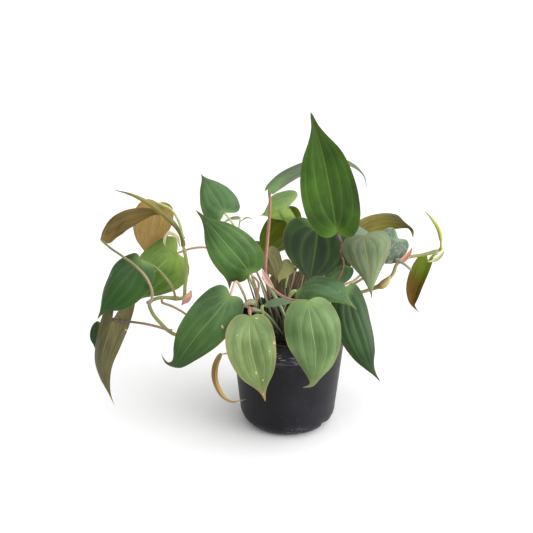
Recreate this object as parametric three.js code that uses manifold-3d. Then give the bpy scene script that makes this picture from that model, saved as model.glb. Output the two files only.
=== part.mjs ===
// Potted heart-leaf philodendron in a plain round nursery pot. Millimetres, +Z up.
// Origin: centre of the pot's underside. Front of the plant faces -Y.
// Every stem, sheath and shoot is one closed loft through rings of eight points; a leaf is
// such a loft for its stalk joined to one for its blade.
import * as THREE from 'three';
import { mergeVertices } from 'three/addons/utils/BufferGeometryUtils.js';
import ManifoldModule from 'manifold-3d';

// ---------------------------------------------------------------- driving dimensions
const POT_HEIGHT = 112;
const RIM_RADIUS = 60;
const BASE_RADIUS = 48;
const BASE_FILLET = 17;
const WALL = 1.4;
const FLOOR = 2.2;
const LIP_HEIGHT = 4.6;
const LIP_OVERHANG = 1.1;
const STEP_BELOW_RIM = 22;
const STEP_DEPTH = 0.5;
const DRAIN_COUNT = 2;
const DRAIN_WIDTH = 16;
const DRAIN_HEIGHT = 12;
const DRAIN_REACH = 38;
const DRAIN_HOLE = 6;
const DRAIN_FIRST_ANGLE = -36;
const SOIL_LEVEL = 100;
const SOIL_GAP = 0.4;
const TURN_SEGMENTS = 40;

const BLADE_THICKNESS = 0.9;
const MIDRIB_DEPTH = 0.9;
const LOBE_PEAK = 0.15;
const LOBE_SPREAD = 1.4;
const SMALL_BLADE = 55;
const STALK_RADIUS = 1.25;
const STALK_TAPER = [1.15, 0.85];
const STALK_RING_SPACING = 13;
const ROD_RING_SPACING = 12;
const RING = 8;

// ---------------------------------------------------------------- colours and finishes
const FINISH = {
  pot: { color: 0x2b2a2f, roughness: 0.42 },
  soil: { color: 0x1d1713, roughness: 0.95 },
  mature: { color: 0x3c6b2e, roughness: 0.5 },
  dark: { color: 0x27491f, roughness: 0.5 },
  bright: { color: 0x5d9a33, roughness: 0.45 },
  light: { color: 0x8fae5c, roughness: 0.5 },
  silver: { color: 0x7c8f74, roughness: 0.5 },
  olive: { color: 0x6f7443, roughness: 0.55 },
  bronze: { color: 0x7a5230, roughness: 0.5 },
  stem: { color: 0x6f8a4a, roughness: 0.5 },
  sheath: { color: 0xcf9f90, roughness: 0.55 },
  shoot: { color: 0xa9bd5a, roughness: 0.5 },
};

const vec = (p) => new THREE.Vector3(p[0], p[1], p[2]);
const lerp = (a, b, t) => a + (b - a) * t;

function named(name, geometry, finish) {
  const mesh = new THREE.Mesh(
    geometry,
    new THREE.MeshStandardMaterial({ ...FINISH[finish], metalness: 0 }),
  );
  mesh.name = name;
  return mesh;
}

// Linear look-up in a list of [position, value] pairs.
function profileAt(table, t) {
  const i = Math.max(1, table.findIndex(([position]) => position >= t));
  const [t0, v0] = table[i - 1];
  const [t1, v1] = table[i];
  return lerp(v0, v1, (t - t0) / (t1 - t0));
}

// ---------------------------------------------------------------- joins and cuts
const wasm = await ManifoldModule();
wasm.setup();

function toManifold(geometry) {
  const bare = new THREE.BufferGeometry();
  bare.setAttribute('position', geometry.toNonIndexed().attributes.position);
  const merged = mergeVertices(bare, 1e-3);
  return new wasm.Manifold(new wasm.Mesh({
    numProp: 3,
    vertProperties: merged.attributes.position.array,
    triVerts: new Uint32Array(merged.index.array),
  }));
}

function fromManifold(body) {
  const { vertProperties, triVerts } = body.getMesh();
  const geometry = new THREE.BufferGeometry();
  geometry.setAttribute('position', new THREE.BufferAttribute(vertProperties, 3));
  geometry.setIndex(new THREE.BufferAttribute(triVerts, 1));
  return geometry;
}

// ---------------------------------------------------------------- lofted skins
// A closed skin over rings of equal length, with one pole point at each end.
function loft(firstPole, rings, lastPole) {
  const points = [firstPole, ...rings.flat(), lastPole];
  const last = points.length - 1;
  const index = [];
  const at = (ring, k) => 1 + ring * RING + (k % RING);
  for (let k = 0; k < RING; k += 1) {
    index.push(0, at(0, k + 1), at(0, k));
    index.push(last, at(rings.length - 1, k), at(rings.length - 1, k + 1));
    for (let ring = 0; ring + 1 < rings.length; ring += 1) {
      const [a, b] = [at(ring, k), at(ring, k + 1)];
      const [c, d] = [at(ring + 1, k), at(ring + 1, k + 1)];
      // The underside is split along the same diagonals as the upper side above it.
      if (k < RING / 2) index.push(a, b, d, a, d, c);
      else index.push(a, b, c, b, d, c);
    }
  }
  let volume = 0;
  for (let i = 0; i < index.length; i += 3) {
    const [a, b, c] = [points[index[i]], points[index[i + 1]], points[index[i + 2]]];
    volume += a.dot(b.clone().cross(c));
  }
  if (volume < 0) index.reverse();
  const geometry = new THREE.BufferGeometry().setFromPoints(points);
  geometry.setIndex(index);
  geometry.computeVertexNormals();
  return geometry;
}

// Unit tangent, side and face directions along a curve; the face direction is carried
// along without twist from the end of the curve (a stalk takes it from its blade).
function carriedFrames(curve, stations, faceAtEnd) {
  const frames = new Array(stations.length);
  let face = faceAtEnd.clone();
  for (let i = stations.length - 1; i >= 0; i -= 1) {
    const tangent = curve.getTangentAt(stations[i]);
    face = face.clone().addScaledVector(tangent, -face.dot(tangent)).normalize();
    const side = tangent.clone().cross(face);
    frames[i] = { at: curve.getPointAt(stations[i]), tangent, face, side };
  }
  return frames;
}

function ovalRing({ at, side, face }, halfWidth, halfDepth) {
  return Array.from({ length: RING }, (_, k) => {
    const angle = (k / RING) * 2 * Math.PI;
    return at.clone()
      .addScaledVector(side, halfWidth * Math.cos(angle))
      .addScaledVector(face, halfDepth * Math.sin(angle));
  });
}

function spaced(count, from = 0, to = 1) {
  return Array.from({ length: count }, (_, i) => lerp(from, to, i / (count - 1)));
}

// A stem, shoot or sheath: an oval rod whose half width follows `swell` along its length.
function rod({ path, radius, swell = [[0, 1], [1, 0.8]], flat = 1, face = [0, -1, 0.3], rings }) {
  const curve = new THREE.CatmullRomCurve3(path.map(vec), false, 'centripetal');
  const count = rings ?? Math.max(5, Math.round(curve.getLength() / ROD_RING_SPACING));
  const margin = 0.35 / count;
  const frames = carriedFrames(curve, spaced(count, margin, 1 - margin), vec(face));
  const sections = frames.map((frame, i) => {
    const half = radius * profileAt(swell, lerp(0.001, 1, i / (count - 1)));
    return ovalRing(frame, half, half * flat);
  });
  return loft(curve.getPointAt(0), sections, curve.getPointAt(1));
}

// Heart-shaped blade, by how far along the midrib: half width as a share of the widest,
const HALF_WIDTH = [
  [0, 0], [0.02, 0.16], [0.06, 0.44], [0.14, 0.76], [0.25, 0.96], [0.36, 1], [0.5, 0.92],
  [0.64, 0.7], [0.77, 0.41], [0.88, 0.17], [0.95, 0.07], [1, 0.02],
];
// and the stations where the blade's rings are cut.
const STATIONS = [0.03, 0.08, 0.15, 0.25, 0.38, 0.52, 0.66, 0.8, 0.91, 0.975];
const SMALL_STATIONS = [0.06, 0.13, 0.25, 0.42, 0.62, 0.82, 0.95];

// How far the margin sweeps back behind the midrib point it belongs to.
function sweepBack(u, lobe) {
  const share = u / LOBE_PEAK;
  return lobe * share * Math.exp(1 - share) * (1 - u);
}

function bladeRing(u, spec, curve, length) {
  const { width, fold = 0, cup = 0, lobe = 0.24, taper = 0 } = spec;
  const hint = (t) => vec(spec.face).lerp(vec(spec.tipFace ?? spec.face), t);
  const frameAt = (along) => {
    const t = Math.min(1, Math.max(0, along));
    const tangent = curve.getTangentAt(t);
    const face = hint(t).addScaledVector(tangent, -hint(t).dot(tangent)).normalize();
    const at = curve.getPointAt(t).addScaledVector(tangent, Math.min(0, along) * length);
    return { at, face, side: tangent.clone().cross(face) };
  };
  const half = (width / 2) * profileAt(HALF_WIDTH, u) * (1 - u) ** taper;
  const point = (v, under) => {
    const across = Math.abs(v);
    const frame = frameAt(u - sweepBack(u, lobe) * across ** LOBE_SPREAD);
    const bend = THREE.MathUtils.degToRad(fold + cup * across);
    const midrib = v === 0 ? MIDRIB_DEPTH * (1 - u) : 0;
    const depth = under * (BLADE_THICKNESS * (1 - across) + midrib);
    return frame.at
      .addScaledVector(frame.side, v * half * Math.cos(bend))
      .addScaledVector(frame.face, across * half * Math.sin(bend) - depth);
  };
  return [
    point(1, 0), point(0.5, 0), point(0, 0), point(-0.5, 0), point(-1, 0),
    point(-0.5, 1), point(0, 1), point(0.5, 1),
  ];
}

// The stalk: round, slightly tapered, its rounded end set into the base of the blade.
function stalkSkin(spec, face) {
  const radius = spec.radius ?? STALK_RADIUS;
  const curve = new THREE.CatmullRomCurve3(
    [...spec.stalk.map(vec), vec(spec.rib[0])], false, 'centripetal',
  );
  const length = curve.getLength();
  const count = Math.max(4, Math.round(length / STALK_RING_SPACING));
  const stations = spaced(count, 0.02, 1 - 0.5 * (radius / length));
  const rings = carriedFrames(curve, stations, face).map((frame, i) => {
    const r = radius * lerp(...STALK_TAPER, i / (count - 1));
    return ovalRing(frame, r, r);
  });
  const end = curve.getPointAt(1).addScaledVector(curve.getTangentAt(1), radius * 0.6);
  return loft(vec(spec.stalk[0]), rings, end);
}

// A leaf: a round stalk joined to a heart-shaped blade.
function leaf(spec) {
  const curve = new THREE.CatmullRomCurve3(spec.rib.map(vec), false, 'centripetal');
  const length = curve.getLength();
  const cuts = length < SMALL_BLADE ? SMALL_STATIONS : STATIONS;
  const rings = cuts.map((u) => bladeRing(u, spec, curve, length));
  const blade = loft(vec(spec.rib[0]), rings, curve.getPointAt(1));
  return fromManifold(toManifold(stalkSkin(spec, vec(spec.face))).add(toManifold(blade)));
}

// ---------------------------------------------------------------- pot and soil
function turned(profile) {
  const geometry = new THREE.LatheGeometry(
    profile.map(([r, z]) => new THREE.Vector2(r, z)), TURN_SEGMENTS,
  );
  return geometry.rotateX(Math.PI / 2);
}

// Outer wall radius at a height above the fillet.
const wallRadius = (z) => lerp(BASE_RADIUS, RIM_RADIUS - LIP_OVERHANG, z / POT_HEIGHT);

function filletArc(radius, fillet, bottom, steps) {
  return spaced(steps).map((t) => {
    const angle = (t * Math.PI) / 2;
    return [
      radius - fillet + fillet * Math.sin(angle),
      bottom + fillet * (1 - Math.cos(angle)),
    ];
  });
}

function outerProfile() {
  const lipBottom = POT_HEIGHT - LIP_HEIGHT;
  const stepZ = POT_HEIGHT - STEP_BELOW_RIM;
  return [
    ...filletArc(wallRadius(BASE_FILLET), BASE_FILLET, 0, 5),
    [wallRadius(stepZ - 0.8), stepZ - 0.8],
    [wallRadius(stepZ) + STEP_DEPTH, stepZ],
    [wallRadius(lipBottom) + STEP_DEPTH, lipBottom],
    [RIM_RADIUS - 0.3, lipBottom + 0.5],
    [RIM_RADIUS, POT_HEIGHT - 0.8],
    [RIM_RADIUS - 0.7, POT_HEIGHT],
  ];
}

function innerProfile() {
  const lipBottom = POT_HEIGHT - LIP_HEIGHT;
  return [
    ...filletArc(wallRadius(BASE_FILLET) - WALL, BASE_FILLET - FLOOR, FLOOR, 4),
    [wallRadius(lipBottom) - WALL, lipBottom - 1],
    [RIM_RADIUS - 2.3, POT_HEIGHT],
    [RIM_RADIUS - 2.2, POT_HEIGHT + 1],
  ];
}

function soilBody() {
  const inset = WALL + SOIL_GAP;
  const bottom = FLOOR + SOIL_GAP;
  return turned([
    [0, bottom],
    ...filletArc(wallRadius(BASE_FILLET) - inset, BASE_FILLET - FLOOR, bottom, 4),
    [wallRadius(SOIL_LEVEL - 3) - inset, SOIL_LEVEL - 3],
    [wallRadius(SOIL_LEVEL) - inset - 3, SOIL_LEVEL - 1.2],
    [30, SOIL_LEVEL],
    [0, SOIL_LEVEL],
  ]);
}

// A ring of blocks round the bottom edge, from `reach` outwards and from `low` to `high`.
function edgeBlocks(width, reach, low, high) {
  const outwards = 20;
  const height = high - low;
  return Array.from({ length: DRAIN_COUNT }, (_, i) => {
    const angle = DRAIN_FIRST_ANGLE + (i * 360) / DRAIN_COUNT;
    const block = new THREE.BoxGeometry(outwards, width, height);
    block.translate(reach + outwards / 2, 0, low + height / 2);
    return toManifold(block.rotateZ(THREE.MathUtils.degToRad(angle)));
  });
}

// The shell, its rounded bottom edge pushed in at the drainage recesses, each with a hole.
function pot() {
  const recesses = edgeBlocks(DRAIN_WIDTH, DRAIN_REACH, -1, DRAIN_HEIGHT);
  const backs = edgeBlocks(DRAIN_WIDTH + 2 * WALL, DRAIN_REACH - WALL, FLOOR, DRAIN_HEIGHT + WALL);
  const holes = edgeBlocks(DRAIN_HOLE, DRAIN_REACH - 4, FLOOR + 1, DRAIN_HEIGHT - 1.5);
  let outer = toManifold(turned([[0, 0], ...outerProfile(), [0, POT_HEIGHT]]));
  let hollow = toManifold(turned([[0, FLOOR], ...innerProfile(), [0, POT_HEIGHT + 1]]));
  for (const recess of recesses) outer = outer.subtract(recess);
  for (const back of backs) hollow = hollow.subtract(back);
  let shell = outer.subtract(hollow);
  for (const hole of holes) shell = shell.subtract(hole);
  return fromManifold(shell);
}

// The root ball fills the pot to just below the rim and stands clear of the recesses.
function soil() {
  const clear = WALL + SOIL_GAP;
  let body = toManifold(soilBody());
  const top = DRAIN_HEIGHT + clear;
  for (const back of edgeBlocks(DRAIN_WIDTH + 2 * clear, DRAIN_REACH - clear, 0, top)) {
    body = body.subtract(back);
  }
  return fromManifold(body);
}

// ---------------------------------------------------------------- leaves
// stalk: from its foot to the blade; rib: midrib from the junction to the tip;
// face: where the upper side looks near the junction (tipFace near the tip);
// fold: lift of each half, cup: extra bend towards the margin, both in degrees;
// lobe: how far the margin sweeps back; taper: how much slimmer it grows towards the tip.
const LEAVES = {
  leaf_crown: {
    finish: 'mature', width: 50, taper: -0.15, face: [-0.3, -0.9, 0.3],
    fold: 16, cup: -6, lobe: 0.13,
    stalk: [
      [14, 4, 100.6], [28, 2, 132], [47, -7, 158], [53, -8, 172], [49, -13, 187], [48.5, -20, 203],
    ],
    rib: [[44, -28, 213], [38, -36, 243], [30, -38, 281], [23, -34, 307], [17, -26, 326]],
  },
  leaf_arching: {
    finish: 'mature', width: 19, face: [-0.1, -0.5, 0.85], tipFace: [0, -0.25, 0.97],
    fold: -4, cup: -12, lobe: 0.14, radius: 1.7,
    stalk: [[-14, 8, 100.6], [-20, 4, 141], [-23, 2, 162], [-21, 12, 192], [-19, 18, 216]],
    rib: [
      [-18, 21, 242], [-12, 28, 247], [11, 42, 258], [45, 50, 265], [65, 48, 259],
      [75, 42, 250], [78, 36, 238],
    ],
  },
  leaf_backlit: {
    finish: 'bright', width: 50, taper: 0.9, face: [0.15, -0.9, 0.4],
    fold: -6, cup: -8, lobe: 0.42,
    stalk: [[-4, 20, 100.6], [4, 28, 129], [14, 36, 158], [12, 37, 188], [5, 36, 211]],
    rib: [[0, 35, 219], [-8, 36, 219], [-18, 36, 214], [-31, 36, 209]],
  },
  leaf_upper_left: {
    finish: 'mature', width: 43, taper: 0.35, face: [-0.1, -0.75, 0.65],
    tipFace: [-0.3, -0.5, 0.8],
    fold: 8, cup: -16, lobe: 0.24,
    stalk: [[-20, 12, 100.6], [-32, 8, 141], [-41, 14, 168], [-51, 18, 200], [-59, 17, 213]],
    rib: [[-63, 17, 219], [-74, 27, 234], [-85, 38, 249], [-88, 44, 252]],
  },
  leaf_left_centre: {
    finish: 'dark', width: 45, face: [-0.1, -0.9, 0.42], fold: 6, cup: -12, lobe: 0.15,
    stalk: [[-22, -8, 100.6], [-33, -16, 133], [-30, -18, 150], [-31, -23, 166]],
    rib: [[-37, -27, 172], [-47, -36, 190], [-61, -42, 210], [-76, -40, 228], [-87, -34, 238]],
  },
  leaf_sprig: {
    finish: 'light', width: 10, face: [0, -0.1, 1], lobe: 0.05, radius: 0.8,
    stalk: [[-27, 20, 100.6], [-37, 14, 137], [-46, 22, 166], [-50, 24, 200]],
    rib: [[-48, 23, 211], [-55, 26, 211], [-61, 28, 208], [-67, 28, 204]],
  },
  leaf_olive_back: {
    finish: 'olive', width: 52, face: [0.1, 0.85, 0.5], fold: 10, cup: 6,
    stalk: [[4, 26, 100.6], [10, 28, 122], [18, 42, 157], [19, 50, 186]],
    rib: [[14, 48, 200], [0, 52, 187], [-18, 52, 172], [-34, 46, 157]],
  },
  leaf_centre: {
    finish: 'dark', width: 67, face: [0, -0.85, 0.5], tipFace: [0, -0.95, -0.1], fold: 14, cup: -14,
    stalk: [[4, 8, 100.6], [2, 12, 137], [8, 21, 159], [20, 30, 181], [29, 28, 199]],
    rib: [[29, 23, 204], [27, 11, 188], [23, -3, 169], [19, -16, 153]],
  },
  leaf_right_centre: {
    finish: 'silver', width: 72, taper: 1, face: [-0.25, -0.66, 0.7], tipFace: [-0.1, -0.98, 0.1],
    fold: 8, cup: -30, lobe: 0.26,
    stalk: [[22, -2, 100.6], [32, 0, 132], [56, 2, 149], [72, 6, 157], [80, 7, 180], [76, 2, 198]],
    rib: [[72, -4, 203], [72, -22, 196], [74, -36, 182], [76, -40, 163], [79, -40, 145]],
  },
  leaf_low_right_centre: {
    finish: 'light', width: 38, face: [0.1, -0.3, 0.95], tipFace: [0.2, -0.8, 0.5],
    fold: 10, cup: -26, lobe: 0.1,
    stalk: [[-2, -18, 100.6], [-6, -21, 130], [0, -25, 147]],
    rib: [[7, -30, 156], [22, -38, 166], [37, -52, 168], [51, -64, 161], [61, -68, 153]],
  },
  leaf_inner_small: {
    finish: 'light', width: 14, face: [0, -0.25, 0.97], cup: -8, lobe: 0.05, radius: 0.9,
    stalk: [[-14, -38, 100.6], [-22, -36, 122], [-26, -36, 138]],
    rib: [[-24, -37, 144], [-17, -39, 148], [-4, -43, 151], [10, -47, 152]],
  },
  leaf_front_right: {
    finish: 'light', width: 53, face: [-0.05, -0.9, 0.42], tipFace: [0, -0.98, -0.1],
    fold: 8, cup: -20, lobe: 0.12,
    stalk: [[-24, -34, 170], [-17, -40, 163], [-5, -51, 158], [7, -61, 159]],
    rib: [
      [16, -65, 161], [19, -76, 142], [23, -80, 118], [23, -78, 94],
      [20, -76, 79], [12, -73, 75],
    ],
  },
  leaf_front_left: {
    finish: 'light', width: 47, face: [-0.1, -0.9, 0.42], tipFace: [0, -0.99, 0],
    fold: 10, cup: -14, lobe: 0.12,
    stalk: [[-37, -36, 139], [-39, -44, 146], [-38, -53, 148]],
    rib: [[-37, -60, 143], [-37, -73, 122], [-31, -80, 95], [-26, -79, 76], [-23, -77, 62]],
  },
  leaf_low_left: {
    finish: 'mature', width: 49, taper: 0.22, face: [-0.15, -0.9, 0.4], tipFace: [-0.1, -0.95, 0.2],
    fold: 6, cup: -10, lobe: 0.14,
    stalk: [[-40, -30, 139], [-45, -31, 156], [-51, -34, 167], [-54, -39, 164]],
    rib: [
      [-56, -44, 157], [-70, -54, 142], [-86, -58, 124], [-101, -56, 102], [-111, -52, 88],
      [-119, -46, 87], [-125, -40, 94],
    ],
  },
  leaf_low_right: {
    finish: 'dark', width: 37, face: [0.15, -0.85, 0.5], tipFace: [0.1, -0.98, 0.1],
    fold: 8, cup: -18, lobe: 0.14,
    stalk: [[12, -14, 100.6], [20, -15, 130], [34, -15, 148], [48, -16, 158]],
    rib: [[55, -21, 155], [60, -32, 130], [69, -37, 104], [79, -38, 79], [91, -36, 60]],
  },
  leaf_olive_right: {
    finish: 'olive', width: 45, face: [0, 0.75, 0.66], cup: -10,
    stalk: [[12, 20, 100.6], [18, 24, 127], [38, 38, 146], [55, 48, 164]],
    rib: [
      [63, 51, 180], [81, 58, 193], [104, 58, 199], [120, 54, 196],
      [127, 48, 192], [129, 44, 183],
    ],
  },
  leaf_blue_strip: {
    finish: 'silver', width: 20, face: [0, -0.35, 0.93], cup: -6,
    stalk: [[20, 30, 100.6], [24, 32, 122], [33, 47, 158], [44, 48, 192]],
    rib: [[51, 40, 202], [64, 30, 198], [78, 21, 194], [91, 16, 188]],
  },
  leaf_mottled: {
    finish: 'silver', width: 34, face: [0.3, -0.8, 0.5], fold: 4, cup: -16, lobe: 0.3,
    stalk: [[50, 9, 138], [73, 12, 150], [93, 20, 164], [108, 25, 182]],
    rib: [[110, 22, 191], [103, 14, 185], [93, 6, 178], [84, 0, 167]],
  },
  leaf_hanging_right: {
    finish: 'bronze', width: 25, face: [-0.75, -0.6, 0.1], tipFace: [-0.7, -0.7, 0],
    fold: 24, cup: 10,
    stalk: [[146, 7, 181], [144, 8, 178], [141, 8, 175]],
    rib: [[138, 6, 172], [132, 3, 158], [127, 3, 139], [126, 4, 128], [129, 4, 122], [133, 4, 117]],
  },
  leaf_dark_small: {
    finish: 'dark', width: 26, face: [0, -0.8, 0.6], cup: -10,
    stalk: [[22, 12, 100.6], [26, 12, 134], [40, 20, 149], [54, 25, 160]],
    rib: [[58, 22, 162], [51, 16, 157], [43, 9, 152], [33, 2, 146]],
  },
  leaf_grey_inner: {
    finish: 'olive', width: 24, face: [0.2, 0.9, -0.3], fold: 6,
    stalk: [[-12, -2, 100.6], [-13, 0, 125], [-19, 10, 149], [-24, 14, 173]],
    rib: [[-22, 12, 180], [-18, 8, 171], [-14, 4, 162], [-12, 0, 153]],
  },
  leaf_pale_inner: {
    finish: 'light', width: 16, face: [0, -0.8, 0.6], fold: 10, lobe: 0.12, radius: 0.9,
    stalk: [[-4, 2, 100.6], [-2, 4, 127], [4, 13, 147], [6, 17, 162]],
    rib: [[3, 14, 168], [-3, 11, 162], [-8, 8, 155], [-10, 6, 148]],
  },
  leaf_bronze_arch: {
    finish: 'bronze', width: 37, face: [-0.3, -0.3, 0.9], tipFace: [0.2, -0.3, 0.93],
    fold: -40, cup: -20, lobe: 0.12,
    stalk: [
      [-137, -20, 139], [-131, -34, 151], [-131, -42, 167], [-138, -42, 180],
      [-152, -36, 190], [-168, -26, 197],
    ],
    rib: [
      [-180, -16, 203], [-177, -13, 212], [-167, -8, 224], [-145, -2, 230],
      [-126, 2, 226], [-114, 4, 215],
    ],
  },
  leaf_bronze_back: {
    finish: 'bronze', width: 40, face: [-0.1, 0.95, 0.25], fold: 6, lobe: 0.12,
    stalk: [[-104, 9, 195], [-108, 18, 208], [-118, 26, 221], [-126, 27, 228]],
    rib: [[-130, 28, 226], [-136, 34, 207], [-142, 38, 184], [-144, 38, 158]],
  },
  leaf_bright_left: {
    finish: 'bright', width: 59, face: [-0.15, -0.8, 0.55], fold: 6, cup: -26, lobe: 0.16,
    stalk: [[-30, 2, 100.6], [-34, 4, 143], [-52, 8, 171], [-80, 15, 183], [-97, 16, 182]],
    rib: [[-111, 14, 178], [-122, 15, 170], [-137, 12, 156], [-149, 8, 140], [-158, 6, 124]],
  },
  leaf_dark_left: {
    finish: 'dark', width: 49, face: [-0.35, -0.8, 0.5], fold: 10, cup: -30, lobe: 0.14,
    stalk: [[-111, -12, 139], [-113, -16, 152], [-120, -21, 167], [-129, -25, 179]],
    rib: [[-141, -27, 186], [-150, -32, 176], [-163, -36, 162], [-176, -34, 144], [-186, -31, 126]],
  },
  leaf_olive_trailing: {
    finish: 'olive', width: 41, taper: 0.6, face: [0.35, 0.85, 0.3], tipFace: [0.3, 0.95, 0],
    fold: 14, cup: 14, lobe: 0.45,
    stalk: [[-115, -26, 111], [-135, -30, 120], [-154, -30, 123], [-167, -29, 124]],
    rib: [[-171, -28, 124], [-179, -34, 102], [-185, -36, 76], [-181, -34, 52], [-175, -30, 28]],
  },
  leaf_tucked_left: {
    finish: 'dark', width: 12, face: [-0.3, -0.9, 0.3], fold: 10, lobe: 0.1, radius: 0.8,
    stalk: [[-160, -23, 122], [-170, -19, 122], [-180, -16, 118]],
    rib: [[-186, -17, 116], [-190, -18, 109], [-193, -19, 100], [-193, -19, 87]],
  },
  leaf_curled_low: {
    finish: 'bronze', width: 10, face: [-0.8, -0.6, 0], fold: 30, cup: 20, lobe: 0.1, radius: 0.9,
    stalk: [[-30, -32, 100.6], [-37, -43, 121], [-44, -55, 120], [-51, -63, 107], [-58, -64, 109]],
    rib: [
      [-64, -63, 105], [-68, -64, 95], [-69, -65, 79], [-64, -67, 66],
      [-57, -69, 58], [-41, -71, 61],
    ],
  },
  leaf_back_left: {
    finish: 'mature', width: 46, face: [-0.3, 0.8, 0.5], fold: 8, cup: -14,
    stalk: [[-14, 28, 100.6], [-24, 38, 128], [-37, 54, 154], [-42, 60, 167]],
    rib: [[-46, 66, 170], [-52, 76, 160], [-58, 81, 143], [-62, 83, 125], [-63, 81, 110]],
  },
  leaf_back_right: {
    finish: 'mature', width: 50, face: [0.3, 0.8, 0.5], fold: 8, cup: -14,
    stalk: [[8, 34, 100.6], [16, 41, 128], [30, 52, 156], [38, 58, 172]],
    rib: [[41, 63, 175], [46, 73, 163], [50, 80, 144], [52, 82, 122], [50, 80, 104]],
  },
  leaf_back_low: {
    finish: 'dark', width: 44, face: [0, 0.85, 0.5], fold: 8, cup: -14,
    stalk: [[-2, 38, 100.6], [-2, 48, 120], [0, 60, 134]],
    rib: [[1, 66, 134], [2, 76, 120], [3, 80, 102], [4, 80, 82], [4, 78, 68]],
  },
};

// ---------------------------------------------------------------- stems, sheaths, shoots
const SPINDLE = [[0, 0.35], [0.2, 0.9], [0.45, 1], [0.8, 0.6], [1, 0.15]];
const SPEAR = [[0, 0.55], [0.3, 1], [0.7, 0.7], [1, 0.12]];

const RODS = {
  vine_left: {
    finish: 'stem', radius: 2.1,
    path: [
      [-22, -14, 100.6], [-34, -15, 116], [-50, -17, 123], [-63, -20, 119], [-82, -24, 106],
      [-112, -20, 104], [-129, -16, 118], [-138, -12, 134], [-122, -10, 141], [-106, -8, 137],
      [-102, -6, 153], [-100, -4, 173], [-103, 0, 190],
    ],
  },
  vine_right: {
    finish: 'stem', radius: 2.1,
    path: [
      [26, 4, 100.6], [34, 5, 122], [50, 4, 135], [74, 2, 141], [88, 2, 147], [102, 4, 157],
      [110, 6, 173], [130, 5, 179], [146, 3, 184],
    ],
  },
  runner_left: {
    finish: 'stem', radius: 1.3,
    path: [[-124, -16, 137], [-114, -16, 133], [-103, -18, 127], [-91, -20, 118]],
  },
  stem_front_left: {
    finish: 'stem', radius: 2,
    path: [[-4, -24, 100.6], [-16, -25, 121], [-27, -27, 133], [-37, -32, 137]],
  },
  stem_front_right: {
    finish: 'stem', radius: 2,
    path: [[4, -28, 100.6], [-2, -29, 122], [-12, -29, 146], [-20, -28, 160], [-25, -29, 170]],
  },
  stem_centre: {
    finish: 'stem', radius: 1.9, swell: [[0, 1], [1, 0.5]],
    path: [[-12, -10, 100.6], [-18, -6, 122], [-24, -2, 140], [-28, 0, 152]],
  },
  sheath_front_right: {
    finish: 'sheath', radius: 2.9, swell: SPINDLE, flat: 0.55,
    path: [[-26, -35, 179], [-23, -38, 173], [-19, -42, 168], [-13, -46, 163]],
  },
  sheath_front_left: {
    finish: 'sheath', radius: 3.2, swell: SPINDLE, flat: 0.5,
    path: [[-31, -45, 147], [-35, -49, 152.5], [-40, -51, 152.5], [-44, -53, 148]],
  },
  sheath_left_node: {
    finish: 'sheath', radius: 3.8, swell: SPINDLE, flat: 0.7,
    path: [[-105, -13, 134], [-101, -12, 139], [-97, -10, 144], [-96, -9, 148]],
  },
  sheath_left_hook: {
    finish: 'sheath', radius: 2.2, swell: SPINDLE, flat: 0.5,
    path: [[-106, -3, 191], [-109, -5, 202], [-116, -6, 206], [-120, -6, 200], [-120, -5, 188]],
  },
  shoot_left: {
    finish: 'shoot', radius: 2.8, swell: SPEAR,
    path: [
      [-104, 4, 194], [-108, 0, 208], [-118, -5, 222], [-134, -9, 237], [-150, -11, 246],
      [-166, -12, 251],
    ],
  },
  shoot_right: {
    finish: 'shoot', radius: 2.2, swell: SPEAR,
    path: [[149, 3, 186], [148, 2, 195], [145, 1, 206], [138, 0, 217], [128, -1, 228]],
  },
  shoot_upper_left: {
    finish: 'shoot', radius: 0.9, swell: SPEAR,
    path: [[-46, 24, 209], [-42, 23, 212], [-35, 22, 211]],
  },
  sheath_right_node: {
    finish: 'sheath', radius: 3, swell: SPINDLE, flat: 0.6,
    path: [[106, -1, 172], [112, -2, 177], [117, -2, 183], [120, -2, 190]],
  },
  sheath_right_end: {
    finish: 'sheath', radius: 2, swell: SPINDLE, flat: 0.6,
    path: [[136, -5, 176], [143, -5, 178], [149, -4, 183], [151, -3, 188]],
  },
  aerial_root_right: {
    finish: 'stem', radius: 1.5,
    path: [[104, -4, 178], [111, -7, 175], [119, -9, 169]],
  },
  bud_right_node: {
    finish: 'shoot', radius: 4.4, swell: SPINDLE,
    path: [[86, -4, 147], [91, -4, 150], [98, -3, 157], [100, -3, 162]],
  },
};

const container = new THREE.Group();
container.add(named('pot', pot(), 'pot'), named('soil', soil(), 'soil'));

const foliage = new THREE.Group();
for (const [name, spec] of Object.entries(LEAVES)) {
  foliage.add(named(name, leaf(spec), spec.finish));
}

const stems = new THREE.Group();
for (const [name, spec] of Object.entries(RODS)) {
  stems.add(named(name, rod(spec), spec.finish));
}

const plant = new THREE.Group();
plant.name = 'potted_philodendron';
plant.add(container, foliage, stems);

export default plant;
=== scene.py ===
"""Looks of a potted heart-leaf philodendron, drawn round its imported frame.

Every length is in metres. Leaves, stalks, stems, sheaths and shoots take their place,
outline and bend from the rings of their own frame node, and the pot and the potting
mix take their sizes from the node boxes. The front is -Y and up is +Z.
"""

from __future__ import annotations

import logging
import math
from collections.abc import Sequence
from dataclasses import dataclass
from enum import Enum

import bmesh
import bpy
import numpy as np
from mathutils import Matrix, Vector, noise

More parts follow.
